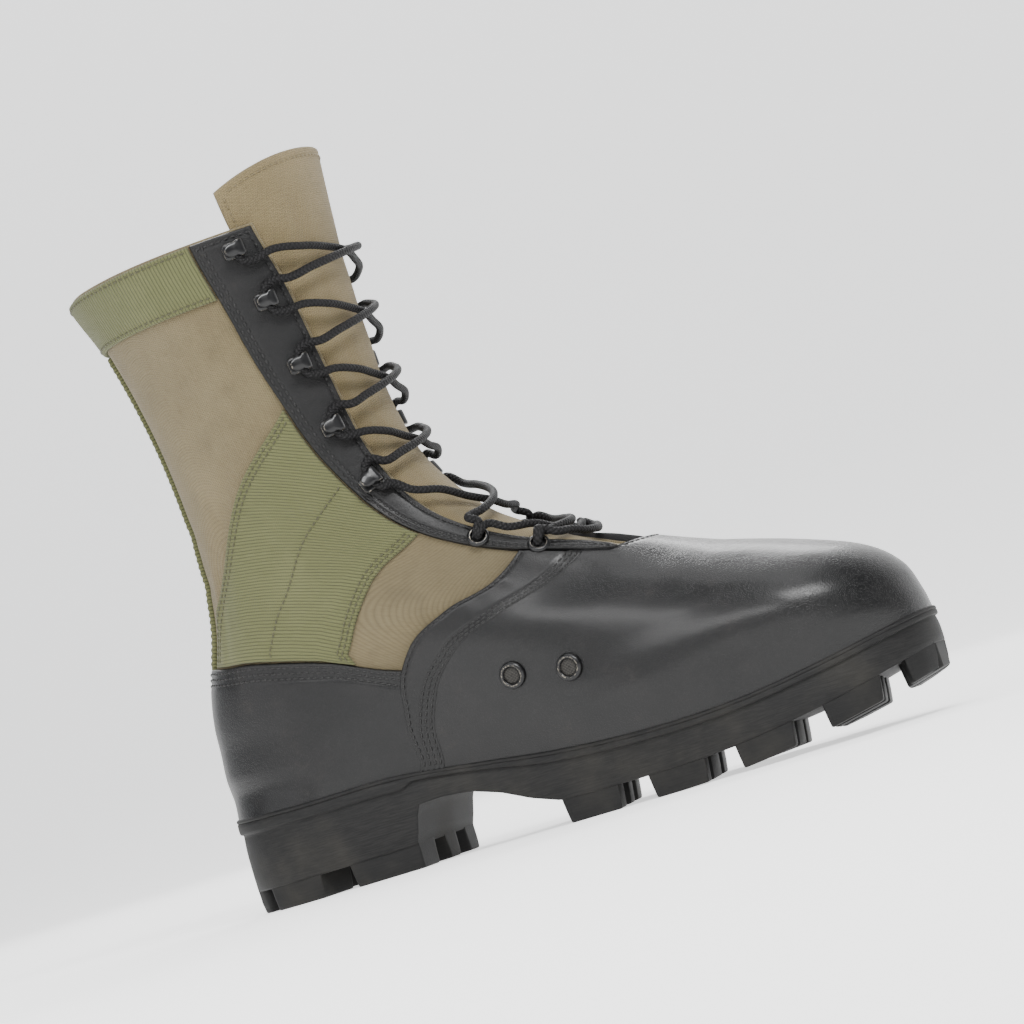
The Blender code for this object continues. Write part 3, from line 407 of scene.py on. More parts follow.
def inside_four(first, last, start, end):
    """Coons patch: side guides blended across, corrected so that the start and end rows are met."""
    def spot(s, t):
        across = t[..., None]
        run = s[..., None]
        inside = (1 - across) * along_guide(first, s) + across * along_guide(last, s)
        inside += (1 - run) * (along_guide(start, t) - ((1 - across) * start[0] + across * start[-1]))
        inside += run * (along_guide(end, t) - ((1 - across) * end[0] + across * end[-1]))
        return inside[..., 0], inside[..., 1]
    return spot


def make_object(name, points, faces, node=None, uv=None):
    """Mesh in metres from points in table millimetres; it stands for a node where one is named."""
    mesh = bpy.data.meshes.new(name)
    moved = (np.asarray(points, float) + SHIFT) * MM
    mesh.from_pydata(moved.tolist(), [], faces if isinstance(faces, list) else faces.tolist())
    if uv is not None:
        layer = mesh.uv_layers.new(name="cloth")
        index = np.empty(len(mesh.loops), np.int32)
        mesh.loops.foreach_get("vertex_index", index)
        layer.data.foreach_set("uv", np.asarray(uv, np.float32)[index].ravel())
    mesh.polygons.foreach_set("use_smooth", np.ones(len(mesh.polygons), bool))
    mesh.update()
    made = bpy.data.objects.new(name, mesh)
    bpy.context.collection.objects.link(made)
    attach(made, "root")
    if node:
        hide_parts(node)
    return made


def quads(rows, columns, first=0, flip=False, closed=False):
    """Faces of a grid, the last column joined to the first where it is closed."""
    i, j = np.meshgrid(np.arange(rows - 1), np.arange(columns if closed else columns - 1), indexing="ij")
    n = (j + 1) % columns
    corners = [i * columns + j, i * columns + n, (i + 1) * columns + n, (i + 1) * columns + j]
    faces = np.stack(corners[::-1] if flip else corners, -1).reshape(-1, 4)
    return faces + first


def turned_out(points, faces):
    """Faces reversed where the closed shape would be inside out, by the sign of its volume."""
    a, b, c, d = (points[faces[:, k]] for k in range(4))
    volume = (a * np.cross(b, c)).sum() + (a * np.cross(c, d)).sum()
    return faces if volume > 0 else faces[:, ::-1]


def without_doubles(points, faces):
    """Points that coincide become one; a face that loses a corner becomes a triangle."""
    key = np.round(points / 0.001).astype(np.int64)
    _, first, back = np.unique(key, axis=0, return_index=True, return_inverse=True)
    faces = back.reshape(-1)[faces]
    kept = []
    for face in faces.tolist():
        corners = [c for k, c in enumerate(face) if c not in face[:k]]
        if len(corners) > 2:
            kept.append(corners)
    return points[first], kept, first


def edge_shares(length, edge, fine, inner):
    """Shares along a panel, packed close together near both ends for the rolled edge."""
    near = edge / length * (1 - np.cos(np.linspace(0, np.pi / 2, fine))) if edge else np.array([0.0])
    middle = np.linspace(near[-1], 1 - near[-1], inner)
    return np.concatenate([near[:-1], middle, 1 - near[:-1][::-1]])


print("side maps", side_map[False][1].shape)


# %% [markdown]
# Every panel is one closed sheet: an outer face, an inner face and rounded edges where they meet.
# Distances along and across it are measured on the boot, so that stitch rows lie a true distance
# from its edges and the cloth pattern keeps its scale.

# %% One closed sheet for each panel
def run_lengths(points, axis):
    """Distance along the rows or the columns of a grid, from its first line."""
    steps = np.linalg.norm(np.diff(points, axis=axis), axis=-1)
    total = np.cumsum(steps, axis=axis)
    blank = np.zeros_like(np.take(total, [0], axis=axis))
    return np.concatenate([blank, total], axis=axis)


class Panel:
    """Grid of a panel with its distances from the four edges, in millimetres."""

    def __init__(self, spot, rows, columns, top, roll=0.8, plain=()):
        coarse = np.meshgrid(np.linspace(0, 1, 12), np.linspace(0, 1, 12), indexing="ij")
        rough = surface(*spot(*coarse), top, folded=False)
        length = run_lengths(rough, 0)[-1].mean()
        width = run_lengths(rough, 1)[:, -1].mean()
        shares = edge_shares(length, roll, 4, rows), edge_shares(width, roll, 4, columns)
        s, t = np.meshgrid(*shares, indexing="ij")
        self.angle, self.level = spot(s, t)
        flat = surface(self.angle, self.level, top, folded=False)
        self.along = run_lengths(flat, 0)
        self.across = run_lengths(flat, 1)
        self.edges = {
            "start": self.along,
            "end": self.along[-1:] - self.along,
            "first": self.across,
            "last": self.across[:, -1:] - self.across,
        }
        self.lines = dict(self.edges, middle=(self.edges["first"] - self.edges["last"]) / 2)
        self.plain = plain
        self.roll = roll
        self.top = top
        self.depth = np.zeros(self.angle.shape)

    def groove(self, side, distance, depth=0.42, width=0.85):
        """Presses the outer face in along a line beside one edge."""
        self.depth -= depth * np.exp(-((self.lines[side] - distance) / width) ** 2)

    def build(self, name, node, edge_out, under):
        """Outer and inner faces joined along rounded edges; edges named plain stay square."""
        nearest = np.min([self.edges[key] for key in self.edges if key not in self.plain], axis=0)
        rise = np.sqrt(1 - (1 - np.clip(nearest / self.roll, 0, 1)) ** 2)
        out = edge_out + (self.top - edge_out + self.depth) * rise
        self.outer = surface(self.angle, self.level, out)
        inner = surface(self.angle, self.level, edge_out + (under - edge_out) * rise)
        rows, columns = self.angle.shape
        border = np.zeros((rows, columns), bool)
        border[[0, -1]] = True
        border[:, [0, -1]] = True
        below = np.arange(rows * columns).reshape(rows, columns)
        below[~border] = rows * columns + np.arange((~border).sum())
        points = np.concatenate([self.outer.reshape(-1, 3), inner[~border]])
        uv = np.stack([self.along, self.across], -1)
        uv = np.concatenate([uv.reshape(-1, 2), uv[~border]])
        grid = quads(rows, columns)
        faces = np.concatenate([grid, below.reshape(-1)[grid][:, ::-1]])
        return make_object(name, points, turned_out(points, faces), node, uv)

    def line(self, side, distance, trim=2.5):
        """Points and outward directions of a line beside one edge of the outer face."""
        reaches = self.lines[side]
        outer, angle, level = self.outer, self.angle, self.level
        if side in ("start", "end"):
            reaches, outer, angle, level = reaches.T, outer.swapaxes(0, 1), angle.T, level.T
        found = []
        for reach, places, turn, climb in zip(reaches, outer, angle, level):
            order = np.argsort(reach)
            values = [places[:, 0], places[:, 1], places[:, 2], np.unwrap(turn), climb]
            found.append([np.interp(distance, reach[order], value[order]) for value in values])
        found = np.array(found)
        run = np.concatenate([[0], np.cumsum(np.linalg.norm(np.diff(found[:, :3], axis=0), axis=1))])
        kept = np.linspace(trim, max(run[-1] - trim, trim + 1), max(int(run[-1]), 4))
        found[:, 3] = np.unwrap(found[:, 3])
        found = np.stack([np.interp(kept, run, found[:, k]) for k in range(5)], -1)
        return found[:, :3], skin_normal(found[:, 3], found[:, 4])


SEAMS = {}


def sew(group, line, pitch=2.9, length=2.35, radius=0.46):
    """Keeps the stitches of a line for later: centres, directions along it, outward directions."""
    places, normals = line
    run = np.concatenate([[0], np.cumsum(np.linalg.norm(np.diff(places, axis=0), axis=1))])
    count = max(int(run[-1] / pitch), 1)
    at = (np.arange(count) + 0.5) * run[-1] / count

    def pick(rows, where):
        return np.stack([np.interp(where, run, rows[:, k]) for k in range(3)], -1)

    ahead = pick(places, at + 0.6) - pick(places, at - 0.6)
    sizes = np.full((count, 2), (length, radius))
    SEAMS.setdefault(group, []).append((pick(places, at), ahead, pick(normals, at), sizes))


print("panel tools ready")

# %% [markdown]
# The canvas upper is one hollow shell, open at the collar, along the throat and underneath. Its
# throat edges and collar are turned in, so that their edge is a half circle. A second sheet closes
# the front below the throat, under the vamp.

# %% The canvas upper
THROAT_FOOT = 5.6
slit_levels = np.linspace(THROAT_FOOT, 12, 60)
slit_angles = throat_angle(slit_levels)


def slit(level):
    """Angle of the throat's edge at any level, held at its foot's angle below the foot."""
    return np.interp(level, slit_levels, slit_angles)


def upper_spot(s, t):
    level = 12 * s
    return slit(level) + (2 * np.pi - 2 * slit(level)) * t, level


def front_spot(s, t):
    return (slit(0.0) + 0.03) * (2 * t - 1), THROAT_FOOT * s


upper = Panel(upper_spot, 185, 220, 0.0, 1.1, plain=("start",))
made = {"upper": upper.build("canvas_upper", "upper", -WALL / 2, -WALL)}
front = Panel(front_spot, 50, 40, -0.05, 0.8, plain=("start",))
made["front"] = front.build("canvas_front", None, -WALL / 2, -WALL)
print("upper grid", upper.angle.shape, "faces", len(made["upper"].data.polygons))

# %% [markdown]
# The tongue is a padded strip of the same canvas behind the throat. Its middle stands a little
# proud, two soft gutters run beside it, and its rim is bound and stitched.

# %% The tongue
TONGUE_OUT = -3.3
TONGUE_THICK = 2.4
tongue_levels = np.linspace(4.9, 12.8, 40)
tongue_reach = edge_angle(tongue_levels, np.interp(tongue_levels, [4.9, 7, 12.8], [5.0, 11.0, 9.0]))


def tongue_spot(s, t):
    level = 4.9 + 7.9 * s
    reach = np.interp(level, tongue_levels, tongue_reach)
    across = 2 * t - 1
    level = level - 0.28 * np.clip((level - 11.6) / 1.2, 0, 1) * np.abs(across) ** 3
    return reach * across, level


tongue = Panel(tongue_spot, 150, 70, TONGUE_OUT, 1.1)
middle = np.abs(tongue.across / tongue.across[:, -1:] * 2 - 1)
climb = tongue.along / tongue.along[-1:]
TONGUE_WAVES = (
    # height, reach, depth
    (0.62, 0.035, -0.5), (0.70, 0.03, 0.4), (0.50, 0.03, -0.35), (0.84, 0.04, -0.4), (0.36, 0.03, -0.35),
)
sag = 0.05 * (middle - 0.4)
for height, reach, depth in TONGUE_WAVES:
    tongue.depth += depth * np.exp(-((climb - height - sag) / reach) ** 2) * (1 - middle ** 2)
tongue.depth -= 0.35 * np.exp(-((middle - 0.42) / 0.10) ** 2)
tongue.groove("first", 3.2, 0.25)
tongue.groove("last", 3.2, 0.25)
tongue.groove("end", 3.6, 0.3)
made["tongue"] = tongue.build(
    "tongue_cloth", "tongue", TONGUE_OUT - TONGUE_THICK / 2, TONGUE_OUT - TONGUE_THICK
)
sew("tan", tongue.line("end", 3.6, 6))
sew("tan", tongue.line("first", 3.2, 5))
sew("tan", tongue.line("last", 3.2, 5))
print("tongue", len(made["tongue"].data.polygons))

# %% [markdown]
# The leather pieces are cut from 1.6 mm sides and lie on the canvas: eyestays, edge strips, the
# heel counter and the vamp. Their rims are rounded and blackened, and rows of stitches press them
# down in shallow gutters. The webbing is a woven tape with a turned edge.

# %% Leather and webbing on both sides
EDGE_GAP = 0.7
RIM = 11.97
EYESTAY_FOOT = 5.48
STRIP_TOP = (6.3, 5.68)
WEBBING_TOP = (9.75, 7.5)
BAND_FOOT = 11.1
COUNTER_TOP = [(5, 104), (14, 103), (23, 102), (37, 100), (50, 97), (74, 90), (95, 81), (105, 77.5)]
COUNTER_FRONT = [(99, 44), (100, 60), (104, 79)]
STRIP_REAR = [(94.5, 45), (95.5, 60), (100, 77), (108, 87), (127, 96), (150, 102)]
STRIP_FRONT = [(105, 43), (108, 54), (115, 69), (129, 81), (149, 88), (172, 94)]
WEBBING_REAR = [(19, 103), (28, 124), (40, 142), (53, 164)]
WEBBING_FRONT = [(80, 91), (90, 105), (101, 117)]
EDGE_OUT = 0.55
UNDER_OUT = -0.3

for side, outer_side in SIDES.items():
    stay_levels = np.linspace(EYESTAY_FOOT, RIM, 60)
    stay_inner = edge_angle(stay_levels, 1.6, outer_side)
    stay_outer = eyestay_edge(stay_levels, 0.0, outer_side)[:, 0]

    def stay_spot(s, t):
        level = EYESTAY_FOOT + (RIM - EYESTAY_FOOT) * s
        inner = np.interp(level, stay_levels, stay_inner)
        outer = np.interp(level, stay_levels, stay_outer)
        tip = 0.25 + 0.75 * np.sqrt(1 - (1 - np.clip(s / 0.04, 0, 1)) ** 2)
        return inner + (outer - inner) * (0.5 + (t - 0.5) * tip), level

    stay = Panel(stay_spot, 170, 34, LEATHER_OUT)
    for distance in (2.2, 4.6):
        stay.groove("last", distance)
    stay.groove("first", 2.2)
    stay.groove("end", 2.4)
    over_vamp = np.clip((6.35 - stay.level) / 0.5, 0, 1)
    stay.depth += 1.15 * over_vamp ** 2 * (3 - 2 * over_vamp)
    made["eyestay_" + side] = stay.build("eyestay_leather_" + side, "eyestay_" + side, EDGE_OUT, UNDER_OUT)
    for distance in (2.2, 4.6):
        sew("black", stay.line("last", distance))
    sew("black", stay.line("first", 2.2))
    sew("black", stay.line("end", 2.4))

    ends = eyestay_edge(np.linspace(STRIP_TOP[0], STRIP_TOP[1], 9), EDGE_GAP, outer_side)
    rear = side_guide(STRIP_REAR, 60, outer_side, True, ends[0])
    front_line = side_guide(STRIP_FRONT, 60, outer_side, True, ends[-1])
    sole_edge = np.linspace(rear[0], front_line[0], 9)
    strip_spot = inside_four(rear, front_line, sole_edge, ends)
    strip = Panel(strip_spot, 110, 22, LEATHER_OUT + 0.5, 0.9, plain=("start",))
    strip.groove("first", 2.0)
    for distance in (2.0, 4.3, 6.6):
        strip.groove("last", distance)
    leather_name = "edge_strip_leather_" + side
    made["strip_" + side] = strip.build(leather_name, "edge_strip_" + side, EDGE_OUT, UNDER_OUT)
    sew("black", strip.line("first", 2.0))
    for distance in (2.0, 4.3, 6.6):
        sew("black", strip.line("last", distance))

    counter_line = side_guide(COUNTER_TOP, 40, outer_side)
    ends = eyestay_edge(np.linspace(WEBBING_TOP[0], WEBBING_TOP[1], 9), EDGE_GAP, outer_side)
    rear = side_guide(WEBBING_REAR, 50, outer_side, False, ends[0])
    front_line = side_guide(WEBBING_FRONT, 50, outer_side, False, ends[-1])
    order = np.argsort(counter_line[:, 0])
    foot_angle = np.linspace(rear[0, 0], front_line[0, 0], 9)
    foot_level = np.interp(foot_angle, counter_line[order, 0], counter_line[order, 1]) + 0.05
    foot = np.column_stack([foot_angle, foot_level])
    rear[0] = foot[0]
    front_line[0] = foot[-1]
    tape = Panel(inside_four(rear, front_line, foot, ends), 90, 44, TAPE_OUT)
    for distance in (2.0, 4.2):
        tape.groove("first", distance, 0.18)
        tape.groove("last", distance, 0.18)
    tape.groove("middle", 0.0, 0.2)
    made["tape_" + side] = tape.build("side_tape_" + side, "side_webbing_" + side, EDGE_OUT, UNDER_OUT)
    for distance in (2.0, 4.2):
        sew("olive", tape.line("first", distance))
        sew("olive", tape.line("last", distance))
    sew("olive", tape.line("middle", 0.0))
print("sides made", sorted(made))

# %% [markdown]
# The counter wraps the heel in one piece. The vamp is the leather over the toes, worked wet over
# the last, so it is smooth and full. Both run down into the seam above the sole.

# %% Counter, vamp, collar tape and back tape
lines = {side: side_guide(COUNTER_TOP, 60, outer_side) for side, outer_side in SIDES.items()}
fronts = {side: side_guide(COUNTER_FRONT, 20, outer_side, True) for side, outer_side in SIDES.items()}
crest = np.concatenate([lines["medial"], lines["lateral"]])
crest = crest[np.argsort(crest[:, 0])]


def counter_spot(s, t):
    """Along the top from the inner front corner round the heel, and down to the sole."""
    first = along_guide(fronts["medial"], t)[..., 0]
    last = along_guide(fronts["lateral"], t)[..., 0]
    top_angle = fronts["medial"][-1, 0] * (1 - s) + fronts["lateral"][-1, 0] * s
    top_level = np.interp(top_angle, crest[:, 0], crest[:, 1])
    return first * (1 - s) + last * s, FOOT_LEVEL + (top_level - FOOT_LEVEL) * t


counter = Panel(counter_spot, 230, 60, LEATHER_OUT, 0.9, plain=("first",))
for distance in (2.0, 4.4, 6.8):
    counter.groove("last", distance)
made["counter"] = counter.build("heel_counter_leather", "heel_counter", EDGE_OUT, UNDER_OUT)
for distance in (2.0, 4.4, 6.8):
    sew("black", counter.line("last", distance, 3))

VAMP_TUCK = 0.42
tops = {}
for side, outer_side in SIDES.items():
    ends = eyestay_edge(list(STRIP_TOP), EDGE_GAP, outer_side)
    rear = side_guide(STRIP_REAR, 60, outer_side, True, ends[0])
    front_line = side_guide(STRIP_FRONT, 60, outer_side, True, ends[1])
    tops[side] = front_line + VAMP_TUCK * (rear - front_line)
first = tops["medial"][np.argmax(tops["medial"][:, 1] > 0.55)]
last = tops["lateral"][np.argmax(tops["lateral"][:, 1] > 0.55)]
line_in = tops["medial"][np.argsort(tops["medial"][:, 0])]
line_out = np.column_stack([tops["lateral"][:, 0] - 2 * np.pi, tops["lateral"][:, 1]])
line_out = line_out[np.argsort(line_out[:, 0])]
vamp_crest = np.concatenate([line_out, line_in])


def vamp_spot(s, t):
    """From the inner edge strip round the toe to the outer one, and up from the sole."""
    turn = first[0] * (1 - s) + (last[0] - 2 * np.pi) * s
    top_level = np.interp(turn, vamp_crest[:, 0], vamp_crest[:, 1])
    beside = np.clip((np.abs(turn) - slit(0.0) - 0.03) / 0.08, 0, 1)
    top_level = np.minimum(top_level, 5.56 + 0.3 * beside)
    return turn, FOOT_LEVEL + (top_level - FOOT_LEVEL) * t


vamp = Panel(vamp_spot, 300, 110, LEATHER_OUT, 0.9, plain=("first",))
vamp.groove("last", 2.2)
made["vamp"] = vamp.build("vamp_leather", "vamp", EDGE_OUT, UNDER_OUT)
sew("black", vamp.line("last", 2.2, 4))

collar_levels = np.linspace(BAND_FOOT, RIM, 9)
collar_start = eyestay_edge(collar_levels, EDGE_GAP)[:, 0]
collar_stop = eyestay_edge(collar_levels, EDGE_GAP, True)[:, 0]


def collar_spot(s, t):
    level = BAND_FOOT + (RIM - BAND_FOOT) * t
    start = np.interp(level, collar_levels, collar_start)
    return start + (np.interp(level, collar_levels, collar_stop) - start) * s, level


collar = Panel(collar_spot, 240, 26, TAPE_OUT)
collar.groove("first", 1.9, 0.18)
collar.groove("last", 1.9, 0.18)
made["collar"] = collar.build("collar_tape", "collar_webbing", EDGE_OUT, UNDER_OUT)
sew("olive", collar.line("first", 1.9))
sew("olive", collar.line("last", 1.9))

BACK_WIDTH = 25.0
back_foot = float(lines["medial"][0, 1]) + 0.05
back_levels = np.linspace(back_foot, BAND_FOOT - 0.03, 30)
back_half = []
for level in back_levels:
    angles = np.pi + np.linspace(-0.6, 0, 61)
    back_half.append(np.pi - np.interp(-BACK_WIDTH / 2, skin(angles, np.full(61, level))[:, 1], angles))


def back_spot(s, t):
    level = back_foot + (BAND_FOOT - 0.03 - back_foot) * s
    return np.pi + np.interp(level, back_levels, back_half) * (2 * t - 1), level


back = Panel(back_spot, 120, 24, TAPE_OUT)
for key in ("first", "last"):
    back.groove(key, 1.9, 0.18)
made["back"] = back.build("back_tape", "back_webbing", EDGE_OUT, UNDER_OUT)
for key in ("first", "last"):
    sew("olive", back.line(key, 1.9))
print("counter, vamp and tapes made", len(made))

# %% [markdown]
# The sole is moulded rubber. Its side wall is buffed and leans in a little, with a rounded lip at
# the top. The base is made first, in loops round the outline. The lugs are separate blocks with
# rounded corners, sunk into the base.

# %% The sole
SIDE_PROFILE = np.array([
    # share  out
    [0.000, -1.40],
    [0.006, -0.55],
    [0.030, -0.22],
    [0.200, -0.20],
    [0.350, -0.22],
    [0.500, -0.30],
    [0.640, -0.55],
    [0.760, -0.90],
    [0.800, -1.05],
    [0.815, -0.95],
    [0.826, -0.10],
    [0.840, 0.22],
    [0.870, 0.30],
    [0.930, 0.30],
    [0.965, 0.20],
    [0.985, -0.10],
    [1.000, -0.80],
])


def floor_height(x):
    return np.interp(x, FLOOR[:, 0], FLOOR[:, 1]) + spring(x)


station_turn = np.linspace(0, np.pi, 241)
ring_angles = np.concatenate([station_turn, 2 * np.pi - station_turn[-2:0:-1]])
ring_count = len(ring_angles)
ring_x = outline(ring_angles)[:, 0]
ring_low = floor_height(ring_x)
ring_high = feather_height(ring_x)
rings = []
for share, out in SIDE_PROFILE:
    rings.append(np.column_stack([outline(ring_angles, out), ring_low + share * (ring_high - ring_low)]))
rings = np.array(rings)
wall_faces = quads(len(SIDE_PROFILE), ring_count, closed=True)


def cap_of(ring, columns=15):
    """Rungs from one side of a ring to the other, for the top and the underside."""
    half = ring_count // 2
    near = ring[:half + 1]
    far = np.concatenate([ring[:1], ring[:half - 1:-1]])
    share = np.linspace(0, 1, columns)[None, :, None]
    return near[:, None] * (1 - share) + far[:, None] * share


top_cap = cap_of(rings[-1])
low_cap = cap_of(rings[0])
cap_rows, cap_columns = top_cap.shape[:2]
wall_points = rings.reshape(-1, 3)
sole_points = np.concatenate([wall_points, top_cap.reshape(-1, 3), low_cap.reshape(-1, 3)])
top_faces = quads(cap_rows, cap_columns, len(wall_points))
low_faces = quads(cap_rows, cap_columns, len(wall_points) + cap_rows * cap_columns, flip=True)


def faces_up(points, faces):
    """Mean height of the face normals' vertical part."""
    a, b, d = points[faces[:, 0]], points[faces[:, 1]], points[faces[:, 3]]
    return np.cross(b - a, d - a)[:, 2].sum()


if faces_up(sole_points, top_faces) < 0:
    top_faces = top_faces[:, ::-1]
if faces_up(sole_points, low_faces) > 0:
    low_faces = low_faces[:, ::-1]
probe = sole_points[wall_faces[10]]
outward = probe.mean(0) - [155, 0, probe.mean(0)[2]]
if np.dot(np.cross(probe[1] - probe[0], probe[3] - probe[0]), outward) < 0:
    wall_faces = wall_faces[:, ::-1]
points, faces, _ = without_doubles(sole_points, np.concatenate([wall_faces, top_faces, low_faces]))
made["sole"] = make_object("sole_base", points, faces, "outsole")
print("sole base faces", len(faces))

# %% [markdown]
# Moulding leaves a round bead of rubber where the leather goes into the sole. It runs all the way
# round and closes the seam.

# %% The bead at the seam
BEAD_IN = 0.95
BEAD_WIDE = 1.2
BEAD_HIGH = 1.0
bead_turn = np.linspace(0, 2 * np.pi, 14, endpoint=False)
bead_rings = []
for turn in bead_turn:
    edge = outline(ring_angles, -BEAD_IN + BEAD_WIDE * np.cos(turn))
    bead_rings.append(np.column_stack([edge, ring_high + 0.35 + BEAD_HIGH * np.sin(turn)]))
bead_points = np.array(bead_rings)
bead_points = np.concatenate([bead_points, bead_points[:1]]).reshape(-1, 3)
bead_faces = turned_out(bead_points, quads(len(bead_turn) + 1, ring_count, closed=True))
points, faces, _ = without_doubles(bead_points, bead_faces)
made["bead"] = make_object("seam_bead", points, faces, None)
print("bead faces", len(faces))

# %% [markdown]
# The tread has heel blocks round the rim, four slanted bars of three blocks each under the
# forefoot, and three blocks at the toe. Each block is drafted for the mould and its corners are
# worn round.

# %% Blocks of the tread
LUG_DRAFT = 1.1
LUG_ROOT = 2.0
CORNER_CUT = 1.6
BARS = np.array([
    # inner block  middle block inner  middle block outer  outer block
    # rear front   rear front          rear front          rear front
    [-14.0, -16.0, 2.0, 1.0, 14.0, 17.5, 22.6, 30.0],
    [-23.0, -29.0, -4.0, -16.0, 19.0, 23.0, 38.0, 36.5],
    [-32.0, -32.0, -19.5, -20.0, 22.5, 19.6, 37.0, 30.5],
    [-32.0, -26.5, -19.0, -15.0, 11.5, 4.3, 28.0, 19.0],
])
HEEL_BLOCKS = [
    [(55, -34.3), (85, -32.6), (85, -13.4), (59, -13.2)],
    [(14.9, -25.6), (26, -31.4), (39.8, -34.2), (45.2, -12.7), (32.3, -5)],
    [(52.2, -3.1), (64.7, 11.9), (52.4, 20.2), (40.4, 4.4)],
    [(67, -1.7), (85, 0.8), (85, 13.5)],
    [(72.1, 19.7), (85, 25.7), (85, 37.3), (69.2, 37.0), (60.1, 28.9)],
    [(6.9, -12.8), (16.8, -4.2), (33.4, 11.3), (45.9, 23.4), (53.5, 33.3), (52.2, 36.2),
     (33.7, 33.5), (20.0, 28.8), (9.5, 20.5), (2.6, 10.2), (0.6, 0.5), (2.2, -8.7)],
]
TOE_BLOCKS = [
    [(296, -17), (299.5, -24.0), (304.7, -17.5), (308.2, -10.0)],
    [(294, -13), (309.0, -5.5), (309.3, 7.5), (289.5, 7.5)],
    [(288.5, 12), (307.3, 13.0), (303.4, 20.5), (296, 28.0), (287.5, 33.0)],
]
BLOCK_RINGS = [
    # height above the tread face, distance outwards from the ground outline
    (LUG_DEPTH + LUG_ROOT, LUG_DRAFT),
    (LUG_DEPTH, LUG_DRAFT * 0.95),
    (LUG_DEPTH * 0.5, LUG_DRAFT * 0.5),
    (1.0, 0.02),
    (0.45, -0.10),
    (0.12, -0.40),
    (0.0, -0.90),
]


def bar_blocks():
    """Three blocks of each forefoot bar, between its slanted rear and front edges."""
    found = []
    for number, gaps in enumerate(BARS):
        start = BAR_START + BAR_PITCH * number

        def corner(y, forward):
            return (start + BAR_WIDTH * forward + BAR_SLANT * y, y)

        def edge_corners(side, shares):
            corners = []
            for forward in shares:
                y = 40.0 * side
                for _ in range(6):
                    x = start + BAR_WIDTH * forward + BAR_SLANT * y
                    y = float(side_limits(x)[0 if side < 0 else 1])
                corners.append((x, y))
            return corners

        found.append(edge_corners(-1, (0, 0.5, 1)) + [corner(gaps[1], 1), corner(gaps[0], 0)])
        found.append([corner(gaps[2], 0), corner(gaps[3], 1), corner(gaps[5], 1), corner(gaps[4], 0)])
        found.append([corner(gaps[6], 0), corner(gaps[7], 1)] + edge_corners(1, (1, 0.5, 0)))
    return found


def rounded_corners(corners, cut=CORNER_CUT, steps=4):
    """Each corner becomes a short curve between points on its two sides."""
    corners = np.array(corners, float)
    before = np.roll(corners, 1, axis=0) - corners
    after = np.roll(corners, -1, axis=0) - corners
    points = []
    for here, back_way, ahead_way in zip(corners, before, after):
        a = here + back_way * min(cut / np.linalg.norm(back_way), 0.3)
        b = here + ahead_way * min(cut / np.linalg.norm(ahead_way), 0.3)
        for t in np.linspace(0, 1, steps):
            points.append((1 - t) ** 2 * a + 2 * t * (1 - t) * here + t * t * b)
    return np.array(points)


def outwards(polygon):
    """Direction away from the polygon at each of its points."""
    edge = np.roll(polygon, -1, axis=0) - polygon
    edge /= np.linalg.norm(edge, axis=1, keepdims=True)
    normal = np.stack([edge[:, 1], -edge[:, 0]], 1)
    mitre = normal + np.roll(normal, 1, axis=0)
    return mitre / np.maximum(np.sum(mitre * normal, axis=1, keepdims=True), 0.5)


def block(corners, rear_of=SOLE_LENGTH - 1.6):
    """Closed block: rings from its root down to the ground, and a face at each end."""
    corners = np.array(corners, float)
    inner, outer = side_limits(corners[:, 0])
    corners[:, 1] = np.clip(corners[:, 1], inner, outer)
    following = np.roll(corners, -1, axis=0)
    if np.sum(corners[:, 0] * following[:, 1] - following[:, 0] * corners[:, 1]) < 0:
        corners = corners[::-1]
    polygon = rounded_corners(corners)
    away = outwards(polygon)
    loops = []
    for height, out in BLOCK_RINGS:
        ring = polygon + out * away
        ring[:, 0] = np.clip(ring[:, 0], 0.7, rear_of)
        low, high = side_limits(ring[:, 0])
        margin = 0.7 * np.clip(height / LUG_DEPTH, 0.3, 1)
        ring[:, 1] = np.clip(ring[:, 1], low + margin, high - margin)
        loops.append(np.column_stack([ring, spring(ring[:, 0]) + height]))
    count = len(polygon)
    points = np.concatenate(loops)
    faces = quads(len(loops), count, closed=True).tolist()
    faces.append(list(range(count)))
    faces.append(list(range(len(points) - count, len(points)))[::-1])
    return points, faces


def merged(parts):
    """Several shapes as one set of points and faces."""
    points = []
    faces = []
    start = 0
    for part_points, part_faces in parts:
        points.append(part_points)
        faces += [[start + k for k in face] for face in part_faces]
        start += len(part_points)
    return np.concatenate(points), faces


blocks = [block(corners) for corners in bar_blocks() + TOE_BLOCKS]
blocks += [block(corners, BREAST_X - 0.1) for corners in HEEL_BLOCKS]
first_points, first_faces = blocks[0]
a, b, c = (first_points[first_faces[-1][k]] for k in (0, 3, 7))
flat_normal = np.cross(b - a, c - b)[2]
if flat_normal > 0:
    blocks = [(p, [face[::-1] for face in f]) for p, f in blocks]
points, faces = merged(blocks)
made["tread"] = make_object("tread_blocks", points, faces, None)
tread_split = made["tread"].modifiers.new("flat_and_round", "EDGE_SPLIT")
tread_split.split_angle = np.radians(50)
print("tread blocks", len(blocks), "faces", len(faces))

# %% [markdown]
# Hooks, eyelets and vents are black lacquered metal. A hook is one bent ribbon: a foot with a
# rivet, a neck, and a tab that opens away from the throat. Each ribbon is swept along its bend with
# a rounded section, and its ends are drawn in round.

